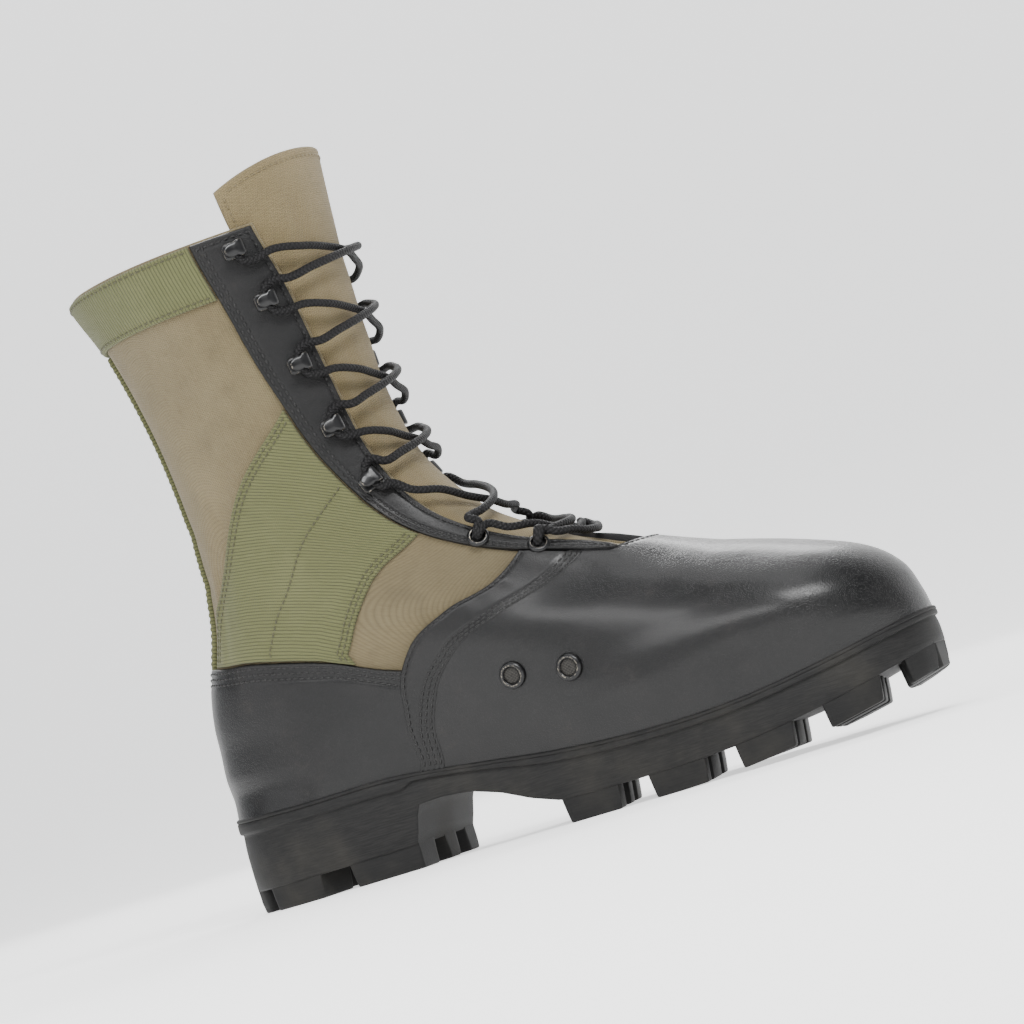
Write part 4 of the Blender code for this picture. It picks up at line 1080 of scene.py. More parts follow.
# %% Hooks
FITTING_OUT = LEATHER_OUT + 0.42
HOOKS = [(11.7, 12.5), (10.9, 11.5), (10.15, 10.5), (9.4, 9.5), (8.6, 9.0)]
EYELETS = [(6.95, 8.0), (6.25, 7.6)]
HOOK_WIDTH = 6.8
HOOK_THICK = 1.15
TAB_START = 14.6
OVAL_MIDDLE = 1.15
OVAL_LENGTH = 3.45
OVAL_WIDTH = 2.95
HOOK_BEND = np.array([
    # away  out
    [4.9, 0.58], [3.6, 0.58], [2.0, 0.58], [0.4, 0.58], [-1.6, 0.60], [-2.6, 0.80], [-3.2, 1.35],
    [-3.42, 2.2], [-3.45, 3.3], [-3.42, 4.6], [-3.2, 5.55], [-2.6, 6.15], [-1.6, 6.4], [0.0, 6.42],
    [1.8, 6.42], [3.0, 6.65], [3.9, 7.05], [4.45, 7.35],
])


def frame_at(angle, level, outer_side, out):
    """Place on the boot and its directions: away from the throat, up along its edge, outwards."""
    one = np.array([angle])
    row = np.array([level])
    normal = skin_normal(one, row)[0]
    up = (skin(one, row + 0.1) - skin(one, row - 0.1))[0]
    away = (skin(one + 0.02, row) - skin(one - 0.02, row))[0] * (-1 if outer_side else 1)
    up -= normal * np.dot(up, normal)
    up /= np.linalg.norm(up)
    away -= normal * np.dot(away, normal) + up * np.dot(away, up)
    away /= np.linalg.norm(away)
    return surface(one, row, np.array([out]), folded=False)[0], away, up, normal


def local(frame_here, away, up, out):
    """Points from distances along a frame's three directions."""
    place, a, u, n = frame_here
    away, up, out = np.broadcast_arrays(*(np.asarray(v, float) for v in (away, up, out)))
    return place + away[..., None] * a + up[..., None] * u + out[..., None] * n


def add_attribute(item, name, values):
    """One number for each point of a mesh, for its material."""
    layer = item.data.attributes.new(name, "FLOAT", "POINT")
    layer.data.foreach_set("value", np.asarray(values, np.float32).ravel())


def hook_shape(frame_here):
    """Ribbon swept along the bend; its section is a rounded bar, drawn in at both ends."""
    run = np.concatenate([[0], np.cumsum(np.linalg.norm(np.diff(HOOK_BEND, axis=0), axis=1))])
    ease = (1 - np.cos(np.linspace(0, np.pi / 2, 9))) * 1.6
    at = np.concatenate([ease, np.linspace(1.6, run[-1] - 1.6, 46)[1:-1], run[-1] - ease[::-1]])
    path = smooth(run, HOOK_BEND, at)
    ahead = np.gradient(path, axis=0)
    ahead /= np.linalg.norm(ahead, axis=1, keepdims=True)
    side_way = np.stack([-ahead[:, 1], ahead[:, 0]], 1)
    reach = np.minimum(at, run[-1] - at)
    half = (HOOK_WIDTH / 2 - 1.6) + np.sqrt(np.clip(1.6 ** 2 - (1.6 - np.clip(reach, 0, 1.6)) ** 2, 0, None))
    on_tab = np.clip((at - TAB_START) / 1.2, 0, 1)
    from_middle = (path[:, 0] - OVAL_MIDDLE) / OVAL_LENGTH
    oval = OVAL_WIDTH * np.sqrt(np.clip(1 - from_middle ** 2, 0, None))
    least = np.where(from_middle < 0, 1.3, 0.35)
    half = np.where(on_tab > 0, (1 - on_tab) * half + on_tab * np.maximum(oval, least), half)
    turn = np.linspace(0, 2 * np.pi, 28, endpoint=False)
    wide = np.sign(np.cos(turn)) * np.abs(np.cos(turn)) ** 0.35
    thick = np.sign(np.sin(turn)) * np.abs(np.sin(turn)) ** 0.8
    across = half[:, None] * wide[None, :]
    lift = HOOK_THICK / 2 * thick[None, :] * np.clip(reach[:, None] / 0.35, 0.05, 1) ** 0.5
    dish = 0.5 * on_tab[:, None] * np.clip(1 - from_middle[:, None] ** 2 - (across / OVAL_WIDTH) ** 2, 0, 1)
    away = path[:, 0:1] + side_way[:, 0:1] * lift
    out = path[:, 1:2] + side_way[:, 1:2] * lift + dish
    points = local(frame_here, away, across, out)
    rows, columns = away.shape
    faces = quads(rows, columns, closed=True).tolist()
    faces.append(list(range(columns))[::-1])
    faces.append(list(range((rows - 1) * columns, rows * columns)))
    wear = np.clip(np.abs(across) / (HOOK_WIDTH / 2), 0, 1) ** 4 * np.ones_like(away)
    wear = np.maximum(wear, 1 - np.clip(reach[:, None] / 1.2, 0, 1))
    return points.reshape(-1, 3), faces, wear.ravel()


def turned_shape(frame_here, profile, sides=44, centre=(0.0, 0.0)):
    """Profile of (radius, out) turned about the outward direction; closed where its ends meet the axis."""
    turn = np.linspace(0, 2 * np.pi, sides, endpoint=False)
    profile = np.array(profile, float)
    radius = profile[:, 0:1]
    across = centre[0] + radius * np.cos(turn)
    upward = centre[1] + radius * np.sin(turn)
    points = local(frame_here, across, upward, profile[:, 1:2] * np.ones(sides))
    return points.reshape(-1, 3), quads(len(profile), sides, closed=True)


def outward_volume(points, faces):
    """Six times the signed volume of a closed shape."""
    total = 0.0
    for face in faces:
        for k in range(1, len(face) - 1):
            total += np.dot(points[face[0]], np.cross(points[face[k]], points[face[k + 1]]))
    return total


RIVET = [(0.02, 2.0), (0.7, 1.95), (1.3, 1.75), (1.75, 1.4), (1.95, 1.0), (1.95, 0.4), (0.02, 0.4)]
fitting_ends = {}
for side, outer_side in SIDES.items():
    fitting_ends[side] = []
    for number, (level, beyond) in enumerate(HOOKS, 1):
        angle = float(edge_angle([level], beyond, outer_side)[0])
        spot_frame = frame_at(angle, level, outer_side, FITTING_OUT)
        fitting_ends[side].append((spot_frame, level, True))
        points, faces, wear = hook_shape(spot_frame)
        rivet_points, rivet_faces = turned_shape(spot_frame, RIVET, 24, (1.4, 0.0))
        if outward_volume(points, faces) < 0:
            faces = [face[::-1] for face in faces]
        rivet_faces = rivet_faces.tolist()
        if outward_volume(rivet_points, rivet_faces) < 0:
            rivet_faces = [face[::-1] for face in rivet_faces]
        points, faces = merged([(points, faces), (rivet_points, rivet_faces)])
        name = f"hook_{side}_{number}"
        made[name] = make_object(name + "_metal", points, faces, name)
        add_attribute(made[name], "wear", np.concatenate([wear, np.full(len(rivet_points), 0.3)]))
print("hooks made", len(fitting_ends["medial"]) * 2)

# %% [markdown]
# Eyelets and vents are pressed rings. A dark disc in each eyelet is painted shade in its hole. The
# vents let water out of the arch and have a fine screen a little below their rim, with painted
# shade in its gaps.

# %% Eyelets and vents
EYELET_RING = [
    (2.60, -2.0), (2.55, -0.4), (2.62, 0.35), (2.90, 0.80), (3.35, 0.98), (3.90, 0.86), (4.35, 0.50),
    (4.58, 0.12), (4.60, -0.1), (4.40, -0.35), (3.2, -0.4), (2.75, -2.0), (2.60, -2.0),
]
VENT_RING = [
    (3.45, 0.45), (3.50, 1.00), (3.75, 1.42), (4.20, 1.58), (4.85, 1.45), (5.35, 1.05), (5.58, 0.50),
    (5.60, -0.30), (4.5, -0.35), (3.45, -0.20), (3.45, 0.45),
]
VENTS = [(147, 64), (172, 60)]
for side, outer_side in SIDES.items():
    for number, (level, beyond) in enumerate(EYELETS, 1):
        angle = float(edge_angle([level], beyond, outer_side)[0])
        spot_frame = frame_at(angle, level, outer_side, FITTING_OUT)
        fitting_ends[side].append((spot_frame, level, False))
        points, faces = turned_shape(spot_frame, EYELET_RING)
        if outward_volume(points, faces) < 0:
            faces = faces[:, ::-1]
        name = f"eyelet_{side}_{number}"
        made[name] = make_object(name + "_metal", points, faces, name)
        radius = np.array([r for r, _ in EYELET_RING])
        rim = np.exp(-((radius - 3.3) / 0.5) ** 2)
        add_attribute(made[name], "wear", np.repeat(rim, 44))
        # A dark disc inside each eyelet is painted shade in its hole.
        hole_profile = [(2.7, -1.2), (2.7, -0.9), (0.02, -0.9), (0.02, -1.2)]
        hole_points, hole_faces = turned_shape(spot_frame, hole_profile, 24)
        if outward_volume(hole_points, hole_faces) < 0:
            hole_faces = hole_faces[:, ::-1]
        made[name + "_hole"] = make_object(name + "_hole", hole_points, hole_faces, None)
for number, place in enumerate(VENTS, 1):
    angle, level = side_guide([place, (place[0] + 4, place[1])], 2)[0]
    spot_frame = frame_at(angle, level, False, LEATHER_OUT + 0.35)
    name = f"vent_{number}"
    points, faces = turned_shape(spot_frame, VENT_RING)
    if outward_volume(points, faces) < 0:
        faces = faces[:, ::-1]
    made[name] = make_object(name + "_metal", points, faces, name)
    radius = np.array([r for r, _ in VENT_RING])
    add_attribute(made[name], "wear", np.repeat(np.exp(-((radius - 4.2) / 0.6) ** 2), 44))
    screen = [(3.6, 0.15), (3.6, 0.55), (2.6, 0.62), (1.4, 0.66), (0.02, 0.68), (0.02, 0.15)]
    points, faces = turned_shape(spot_frame, screen, 36)
    if outward_volume(points, faces) < 0:
        faces = faces[:, ::-1]
    made[name + "_screen"] = make_object(name + "_screen", points, faces, None)
print("eyelets and vents made")

# %% [markdown]
# The lace is a round braided cord. It crosses from hook to hook and shows its weight: each bar
# lies on the tongue in the middle and lifts to the hooks. Its ends stop at the top hooks.

# %% The lace
LACE_RADIUS = 1.75
LACE_OUT = 3.5
LACE_PAST = 0.7


def lace_end(end, upward):
    """The cord's way out of a hook or an eyelet, towards the throat; upward is +1, 0 or -1."""
    spot_frame, _, is_hook = end
    if is_hook:
        rows = [
            (-0.4, -upward * LACE_PAST, LACE_OUT),
            (-0.3, upward * 2.6, LACE_OUT),
            (-1.3, upward * 5.2, LACE_OUT),
            (-5.0, upward * 6.6, LACE_OUT - 0.3),
        ]
    else:
        rows = [
            (0.2, upward * 0.3, -0.1),
            (-0.1, upward * 0.4, 1.6),
            (-1.3, upward * 0.8, 3.3),
            (-4.6, upward * 1.6, LACE_OUT),
        ]
    return [local(spot_frame, *row) for row in rows]


def lace_bar(start, stop, middle_out):
    """One crossing from the inner side to the outer side, over the tongue."""
    level_in, level_out = start[1], stop[1]
    rise = np.sign(level_out - level_in)
    first_end = lace_end(start, rise)
    last_end = lace_end(stop, -rise)[::-1]
    shares = np.array([1.02, 0.72, 0.36, 0.0, -0.36, -0.72, -1.02])
    part = (1 - shares / 1.02) / 2
    levels = level_in + (level_out - level_in) * (0.22 + 0.56 * part)
    outs = np.interp(np.abs(shares), [0, 0.36, 0.72, 1.02], [middle_out, middle_out + 0.3, 4.0, 5.8])
    middle_points = surface(np.mod(shares * throat_angle(levels), 2 * np.pi), levels, outs, folded=False)
    return np.array(first_end + list(middle_points) + last_end)


def cord_shape(points, radius, sides=14, step=0.7):
    """Closed tube along a smooth line through the points, with flat end caps and its own pattern map."""
    run = np.concatenate([[0], np.cumsum(np.linalg.norm(np.diff(points, axis=0), axis=1))])
    at = np.linspace(0, run[-1], int(run[-1] / step))
    path = smooth(run, points, at)
    ahead = np.gradient(path, axis=0)
    ahead /= np.linalg.norm(ahead, axis=1, keepdims=True)
    turn = np.linspace(0, 2 * np.pi, sides, endpoint=False)
    across = np.cross(ahead[0], [0.3, 0.2, 0.93])
    rows = []
    for here, way in zip(path, ahead):
        across = across - way * np.dot(across, way)
        across /= np.linalg.norm(across)
        third = np.cross(way, across)
        rows.append(here + radius * (np.cos(turn)[:, None] * across + np.sin(turn)[:, None] * third))
    points = np.concatenate(rows)
    faces = quads(len(path), sides, closed=True).tolist()
    faces.append(list(range(sides))[::-1])
    faces.append(list(range(len(points) - sides, len(points))))
    if outward_volume(points, faces) < 0:
        faces = [face[::-1] for face in faces]
    return points, faces, np.repeat(at, sides), np.tile(np.minimum(turn, 2 * np.pi - turn), len(path))


# How far the middle of each crossing stands off: the upper cord, the lower one, the straight one
LACE_OVER = 3.1
LACE_UNDER = 0.3
LACE_BOTTOM = 1.6
cords = []
inner_ends = fitting_ends["medial"]
outer_ends = fitting_ends["lateral"]
count = len(inner_ends)
for k in range(count - 1):
    cords.append(cord_shape(lace_bar(inner_ends[k + 1], outer_ends[k], LACE_OVER), LACE_RADIUS))
    cords.append(cord_shape(lace_bar(inner_ends[k], outer_ends[k + 1], LACE_UNDER), LACE_RADIUS - 0.12))
cords.append(cord_shape(lace_bar(inner_ends[-1], outer_ends[-1], LACE_BOTTOM), LACE_RADIUS - 0.1))
points, faces = merged([(cord[0], cord[1]) for cord in cords])
made["lace"] = make_object("lace_cord", points, faces, "lace")
add_attribute(made["lace"], "along_cord", np.concatenate([cord[2] for cord in cords]))
add_attribute(made["lace"], "round_cord", np.concatenate([cord[3] for cord in cords]))
print("lace crossings", len(cords), "faces", len(faces))

# %% [markdown]
# Each stitch is a short capsule that rises in the middle and dips into its holes. The rows were
# kept as the panels were made, so every stitch follows the finished surface.

# %% Stitches
STITCH_RINGS = np.array([
    # share of the length, thickness, height
    [-0.50, 0.35, -0.32], [-0.36, 0.85, -0.02], [0.0, 1.0, 0.14], [0.36, 0.85, -0.02], [0.50, 0.35, -0.32],
])
STITCH_SIDES = 6


def stitched(group, rows):
    """All the stitches of one thread as one mesh."""
    centre, ahead, normal, sizes = (np.concatenate([row[k] for row in rows]) for k in range(4))
    ahead /= np.linalg.norm(ahead, axis=1, keepdims=True)
    across = np.cross(normal, ahead)
    across /= np.linalg.norm(across, axis=1, keepdims=True)
    upward = np.cross(ahead, across)
    turn = np.linspace(0, 2 * np.pi, STITCH_SIDES, endpoint=False)
    length, radius = sizes[:, 0], sizes[:, 1]
    along = STITCH_RINGS[:, 0][None, :, None] * length[:, None, None] * np.ones(STITCH_SIDES)
    wide = STITCH_RINGS[:, 1][None, :, None] * radius[:, None, None] * np.cos(turn)
    ring_rise = STITCH_RINGS[:, 2][None, :, None]
    high = (STITCH_RINGS[:, 1][:, None] * np.sin(turn))[None] * radius[:, None, None] + ring_rise
    points = centre[:, None, None] + along[..., None] * ahead[:, None, None]
    points = points + wide[..., None] * across[:, None, None]
    points = points + high[..., None] * upward[:, None, None]
    rings = len(STITCH_RINGS)
    one = quads(rings, STITCH_SIDES, closed=True).tolist()
    one.append(list(range(STITCH_SIDES))[::-1])
    one.append(list(range((rings - 1) * STITCH_SIDES, rings * STITCH_SIDES)))
    if outward_volume(points[0].reshape(-1, 3), one) < 0:
        one = [face[::-1] for face in one]
    size = rings * STITCH_SIDES
    faces = [[k + start for k in face] for start in range(0, size * len(centre), size) for face in one]
    return make_object("stitches_" + group, points.reshape(-1, 3), faces, None), len(centre)


for group, rows in SEAMS.items():
    made["thread_" + group], total = stitched(group, rows)
    print("stitches", group, total)

# %% [markdown]
# Materials are written as short sums. A small class carries a number through a material, so that
# plus, minus and times put the Math nodes down, and one method makes every other node.

# %% How materials are written
class Wire:
    """A number on its way through a material."""

    def __init__(self, finish, socket):
        self.finish = finish
        self.socket = socket

    def math(self, operation, *others, clamp=False):
        node = self.finish.tree.nodes.new("ShaderNodeMath")
        node.operation = operation
        node.use_clamp = clamp
        for socket, value in zip(node.inputs, (self, *others)):
            self.finish.feed(socket, value)
        return Wire(self.finish, node.outputs[0])

    def turned_round(self, operation, first):
        node = self.finish.tree.nodes.new("ShaderNodeMath")
        node.operation = operation
        self.finish.feed(node.inputs[0], first)
        self.finish.feed(node.inputs[1], self)
        return Wire(self.finish, node.outputs[0])

    def __add__(self, other):
        return self.math("ADD", other)

    def __radd__(self, other):
        return self.turned_round("ADD", other)

    def __sub__(self, other):
        return self.math("SUBTRACT", other)

    def __rsub__(self, other):
        return self.turned_round("SUBTRACT", other)

    def __mul__(self, other):
        return self.math("MULTIPLY", other)

    def __rmul__(self, other):
        return self.turned_round("MULTIPLY", other)

    def __truediv__(self, other):
        return self.math("DIVIDE", other)

    def __pow__(self, other):
        return self.math("POWER", other)


class Finish:
    """One material: its nodes, the coordinates it uses and the final shader."""

    def __init__(self, name, fixed):
        self.material = bpy.data.materials.new(name)
        self.material.use_nodes = True
        self.tree = self.material.node_tree
        self.shader = self.tree.nodes["Principled BSDF"]
        for socket, value in fixed.items():
            self.shader.inputs[socket].default_value = value

    def feed(self, socket, value):
        if isinstance(value, Wire):
            self.tree.links.new(value.socket, socket)
        else:
            socket.default_value = value

    def node(self, kind, settings=None, sockets=None, result=0):
        made_node = self.tree.nodes.new("ShaderNode" + kind)
        for key, value in (settings or {}).items():
            setattr(made_node, key, value)
        for key, value in (sockets or {}).items():
            self.feed(made_node.inputs[key], value)
        return Wire(self, made_node.outputs[result])

    def place(self):
        """Position on the object in metres."""
        return self.node("TexCoord", result="Object")

    def cloth(self):
        """Millimetres along and across the panel, as two numbers."""
        uv = self.node("UVMap", {"uv_map": "cloth"})
        split = self.node("SeparateXYZ", None, {0: uv})
        return split, Wire(self, split.socket.node.outputs[1])

    def stretched(self, vector, factors):
        """Vector times three factors."""
        return self.node("VectorMath", {"operation": "MULTIPLY"}, {0: vector, 1: factors})

    def joined(self, x, y, z=0.0):
        return self.node("CombineXYZ", None, {0: x, 1: y, 2: z})

    def noise(self, vector, scale, detail=4.0, roughness=0.55):
        noise_settings = {"Vector": vector, "Scale": scale, "Detail": detail, "Roughness": roughness}
        return self.node("TexNoise", None, noise_settings)

    def cells(self, vector, scale, feature="F1", result="Distance"):
        return self.node("TexVoronoi", {"feature": feature}, {"Vector": vector, "Scale": scale}, result)

    def ramp(self, value, low, high, to_low=0.0, to_high=1.0):
        """Value mapped from one range to another, held at the ends."""
        sockets = {"Value": value, "From Min": low, "From Max": high, "To Min": to_low, "To Max": to_high}
        return self.node("MapRange", {"clamp": True, "interpolation_type": "SMOOTHSTEP"}, sockets)

    def colour(self, factor, low, high):
        """Blend of two colours."""
        return self.node("Mix", {"data_type": "RGBA"}, {0: factor, 6: low, 7: high}, 2)

    def bump(self, height, millimetres, normal=None, strength=1.0):
        sockets = {"Height": height, "Distance": millimetres * MM, "Strength": strength}
        if normal is not None:
            sockets["Normal"] = normal
        return self.node("Bump", None, sockets)

    def finish(self, **inputs):
        """Joins colour, roughness and the like to the shader."""
        for key, value in inputs.items():
            self.feed(self.shader.inputs[key.replace("_", " ").title()], value)
        return self.material


def shade(red, green, blue):
    """Colour from the usual 0 to 255 values, as light."""
    values = np.array([red, green, blue]) / 255.0
    light = np.where(values <= 0.04045, values / 12.92, ((values + 0.055) / 1.055) ** 2.4)
    return (*light.tolist(), 1.0)


print("material tools ready")

# %% [markdown]
# The canvas is a plain weave of thick, uneven cotton. At each crossing one thread is on top. Slubs
# run along both sets of threads, the cloth is faded in random patches, the low places of the weave
# are darkened as painted shade, and it is soiled low down.

# %% Canvas and webbing
THREAD_MM = 0.86
TWILL_MM = 1.25
RIB_MM = 1.5


def weave(along, across, pitch):
    """Height of a plain weave: the sign of two sines tells which thread is on top."""
    wave_u = (along * (np.pi / pitch)).math("SINE")
    wave_v = (across * (np.pi / pitch)).math("SINE")
    on_top = (wave_u * wave_v).math("GREATER_THAN", 0.0)
    high_u = wave_u.math("ABSOLUTE")
    high_v = wave_v.math("ABSOLUTE")
    warp = high_u * high_v ** 0.45
    weft = high_v * high_u ** 0.45
    return warp * on_top + weft * (1.0 - on_top), on_top


def slubs(finish, along, across, pitch):
    """Uneven thickness of threads in both directions."""
    warp = finish.noise(finish.joined(along * (1.0 / pitch), across * 0.11), 1.0, 2.0)
    weft = finish.noise(finish.joined(along * 0.11, across * (1.0 / pitch), 7.0), 1.0, 2.0)
    return warp, weft


def canvas(name, base, dark, pale, soil):
    made_finish = Finish(name, {"Specular IOR Level": 0.25, "Sheen Weight": 0.12, "Sheen Roughness": 0.6})
    along, across = made_finish.cloth()
    place = made_finish.place()
    height, on_top = weave(along, across, THREAD_MM)
    twill = ((along + across) * (np.pi / TWILL_MM)).math("SINE").math("ABSOLUTE")
    height = height * 0.65 + twill * 0.35
    warp, weft = slubs(made_finish, along, across, THREAD_MM)
    thread = warp * on_top + weft * (1.0 - on_top)
    fade = made_finish.noise(place, 26.0, 5.0)
    patch = made_finish.noise(place, 70.0, 3.0)
    grain = made_finish.ramp(thread, 0.20, 0.62) * 0.5 + 0.5
    colour = made_finish.colour(grain, dark, base)
    colour = made_finish.colour(made_finish.ramp(fade, 0.42, 0.72) * 0.45, colour, pale)
    # Painted shade: the low places of the weave, between the threads, take the dark colour.
    colour = made_finish.colour(made_finish.ramp(height, 0.62, 0.12) * 0.85, colour, dark)
    lift = Wire(made_finish, made_finish.node("SeparateXYZ", None, {0: place}).socket.node.outputs[2])
    low = made_finish.ramp(lift, 0.12, 0.04)
    dirt = made_finish.ramp(patch, 0.50, 0.72) * (0.18 + low * 0.5)
    colour = made_finish.colour(dirt, colour, soil)
    roughness = 0.86 + (patch - 0.5) * 0.15
    waves = made_finish.noise(place, 120.0, 3.0)
    normal = made_finish.bump(waves, 0.35)
    normal = made_finish.bump(height * (0.8 + thread * 0.4), 0.34, normal)
    return made_finish.finish(base_color=colour, roughness=roughness, normal=normal)


def tape_cloth(name, base, dark, pale):
    """Webbing: ribs across the tape, twill steps between them, and painted shade between the ribs."""
    made_finish = Finish(name, {"Specular IOR Level": 0.3, "Sheen Weight": 0.1})
    along, across = made_finish.cloth()
    place = made_finish.place()
    warp, weft = slubs(made_finish, along, across, 1.1)
    rib = ((along + weft * 0.3) * (np.pi / RIB_MM)).math("SINE").math("ABSOLUTE")
    steps = ((across + along * 0.5) * (np.pi / 0.75)).math("SINE").math("ABSOLUTE")
    height = rib ** 0.6 * (0.72 + steps * 0.28)
    fade = made_finish.noise(place, 34.0, 5.0)
    colour = made_finish.colour(made_finish.ramp(warp, 0.2, 0.8) * 0.3, base, pale)
    colour = made_finish.colour(made_finish.ramp(fade, 0.45, 0.72) * 0.4, colour, pale)
    # Painted shade: the low places between the ribs take the dark colour.
    colour = made_finish.colour(made_finish.ramp(height, 0.62, 0.15) * 0.8, colour, dark)
    waves = made_finish.noise(place, 110.0, 3.0)
    normal = made_finish.bump(waves, 0.25)
    normal = made_finish.bump(height, 0.42, normal)
    return made_finish.finish(base_color=colour, roughness=0.82 + (weft - 0.5) * 0.1, normal=normal)


finishes = {
    # The second colour of each canvas is a darker thread tone and also the painted shade between threads.
    "canvas": canvas(
        "canvas", shade(116, 104, 75), shade(80, 71, 48), shade(130, 118, 88), shade(70, 62, 45)
    ),
    "tongue": canvas(
        "tongue_canvas", shade(122, 108, 76), shade(86, 76, 50), shade(138, 124, 92), shade(74, 66, 48)
    ),
    # The tape's second colour is the painted shade between the ribs.
    "tape": tape_cloth("webbing", shade(88, 90, 57), shade(40, 42, 24), shade(104, 105, 71)),
}
print("cloth", sorted(finishes))

# %% [markdown]
# The leather is black, full grain and waxed. Fine pebbles come from small cells, larger wrinkles
# from stretched noise. Rubbed places are grey and dull; the same grey is also painted highlight,
# most on the eyestays. The eyestays are drier than the vamp.

# %% Leather, rubber, metal, cord, thread and felt
def leather(name, dull, scuff_and_highlight, coat):
    made_finish = Finish(name, {"Coat Roughness": 0.22, "Specular IOR Level": 0.27})
    place = made_finish.place()
    pebbles = made_finish.cells(place, 1500.0)
    pores = made_finish.noise(place, 2600.0, 2.0)
    wrinkle = made_finish.noise(made_finish.stretched(place, (1.0, 0.55, 1.6)), 330.0, 4.0, 0.6)
    cloud = made_finish.noise(place, 42.0, 5.0, 0.6)
    rub = made_finish.noise(made_finish.stretched(place, (1.0, 1.0, 1.7)), 150.0, 6.0, 0.7)
    wear = made_finish.ramp(cloud, 0.50, 0.72) * made_finish.ramp(rub, 0.50, 0.66)
    scratch_map = made_finish.stretched(place, (1.0, 0.4, 0.14))
    scratch = made_finish.ramp(made_finish.noise(scratch_map, 900.0, 2.0), 0.66, 0.74)
    colour = made_finish.colour(made_finish.ramp(cloud, 0.35, 0.7), shade(8, 8, 8), shade(15, 14, 14))
    # Rubbed places turn grey; the same grey also serves as painted highlight, strongest on the eyestays.
    colour = made_finish.colour(wear * scuff_and_highlight, colour, shade(104, 98, 90))
    scratched = scratch * made_finish.ramp(cloud, 0.5, 0.65) * 0.06
    colour = made_finish.colour(scratched, colour, shade(70, 66, 61))
    roughness = dull + (rub - 0.5) * 0.14 + wear * 0.08
    height = made_finish.ramp(pebbles, 0.05, 0.62) * 0.55 + wrinkle * 0.9 + pores * 0.2
    normal = made_finish.bump(cloud, 0.3)
    normal = made_finish.bump(height, 0.18, normal)
    shine = coat * (1.0 - wear * 0.3)
    return made_finish.finish(base_color=colour, roughness=roughness, coat_weight=shine, normal=normal)


def rubber(name, side_buffed):
    """Black rubber; the side walls carry fine level scratches from the buffing wheel."""
    made_finish = Finish(name, {"Specular IOR Level": 0.26})
    place = made_finish.place()
    buff = made_finish.noise(made_finish.stretched(place, (0.05, 0.05, 1.0)), 2600.0, 3.0, 0.7)
    pits = made_finish.noise(place, 900.0, 4.0, 0.6)
    cloud = made_finish.noise(place, 38.0, 4.0)
    dust = made_finish.ramp(cloud, 0.42, 0.75)
    tone = made_finish.ramp(buff, 0.35, 0.7) * side_buffed
    colour = made_finish.colour(tone * 0.55, shade(11, 11, 11), shade(38, 37, 36))
    colour = made_finish.colour(dust * 0.16, colour, shade(80, 77, 70))
    roughness = 0.62 + (buff - 0.5) * 0.2 * side_buffed + dust * 0.1
    normal = made_finish.bump(pits, 0.07)
    normal = made_finish.bump(buff, 0.06 * side_buffed + 0.01, normal)
    return made_finish.finish(base_color=colour, roughness=roughness, normal=normal)


def lacquered():
    """Black lacquer over steel, chipped where the wear attribute is high."""
    lacquer_values = {"Coat Weight": 0.25, "Coat Roughness": 0.14, "Specular IOR Level": 0.3}
    made_finish = Finish("black_lacquer", lacquer_values)
    place = made_finish.place()
    wear = made_finish.node("Attribute", {"attribute_name": "wear"}, None, "Fac")
    spots = made_finish.noise(place, 1300.0, 4.0, 0.65)
    chips = made_finish.ramp(wear * 0.55 + spots, 0.98, 1.04)
    dull = made_finish.noise(place, 300.0, 4.0)
    colour = made_finish.colour(chips, shade(9, 9, 10), shade(120, 114, 104))
    roughness = made_finish.ramp(dull, 0.3, 0.7, 0.28, 0.46)
    normal = made_finish.bump(spots * 0.4 - chips * 0.6, 0.05)
    return made_finish.finish(base_color=colour, roughness=roughness, metallic=chips * 0.9, normal=normal)


def braid():
    """Round braid: two sets of strands wound against each other, with painted shade between the strands."""
    made_finish = Finish("lace_braid", {"Specular IOR Level": 0.22})
    along = made_finish.node("Attribute", {"attribute_name": "along_cord"}, None, "Fac")
    turn = made_finish.node("Attribute", {"attribute_name": "round_cord"}, None, "Fac")
    left = (along * 1.75 + turn * 2.0).math("SINE")
    right = (along * 1.75 - turn * 2.0).math("SINE")
    height = left.math("ABSOLUTE") * right.math("ABSOLUTE") ** 0.5
    fibre = made_finish.noise(made_finish.place(), 2200.0, 3.0)
    # Painted shade: dark in the valleys between the strands, light on their crowns, with fibre tone mixed in.
    strand_shade_and_fibre = made_finish.ramp(height + fibre * 0.3, 0.15, 0.9)
    colour = made_finish.colour(strand_shade_and_fibre, shade(3, 3, 3), shade(26, 25, 26))
    normal = made_finish.bump(height + fibre * 0.25, 0.45)
    return made_finish.finish(base_color=colour, roughness=0.62 + (fibre - 0.5) * 0.2, normal=normal)


def thread(name, dark, pale):
    """Waxed thread: two colours mixed by fine fibre noise."""
    made_finish = Finish(name, {"Specular IOR Level": 0.4})
    fibre = made_finish.noise(made_finish.place(), 3200.0, 2.0)
    colour = made_finish.colour(made_finish.ramp(fibre, 0.35, 0.65), dark, pale)
    normal = made_finish.bump(fibre, 0.08)
    return made_finish.finish(base_color=colour, roughness=0.45 + (fibre - 0.5) * 0.2, normal=normal)


def felt():
    made_finish = Finish("insole_felt", {"Specular IOR Level": 0.2})
    place = made_finish.place()
    hair = made_finish.noise(place, 1500.0, 6.0, 0.7)
    press = made_finish.noise(place, 24.0, 4.0)
    colour = made_finish.colour(made_finish.ramp(hair, 0.35, 0.7), shade(46, 42, 37), shade(78, 71, 62))
    normal = made_finish.bump(hair + press * 0.6, 0.3)
    return made_finish.finish(base_color=colour, roughness=0.9 + (press - 0.5) * 0.1, normal=normal)


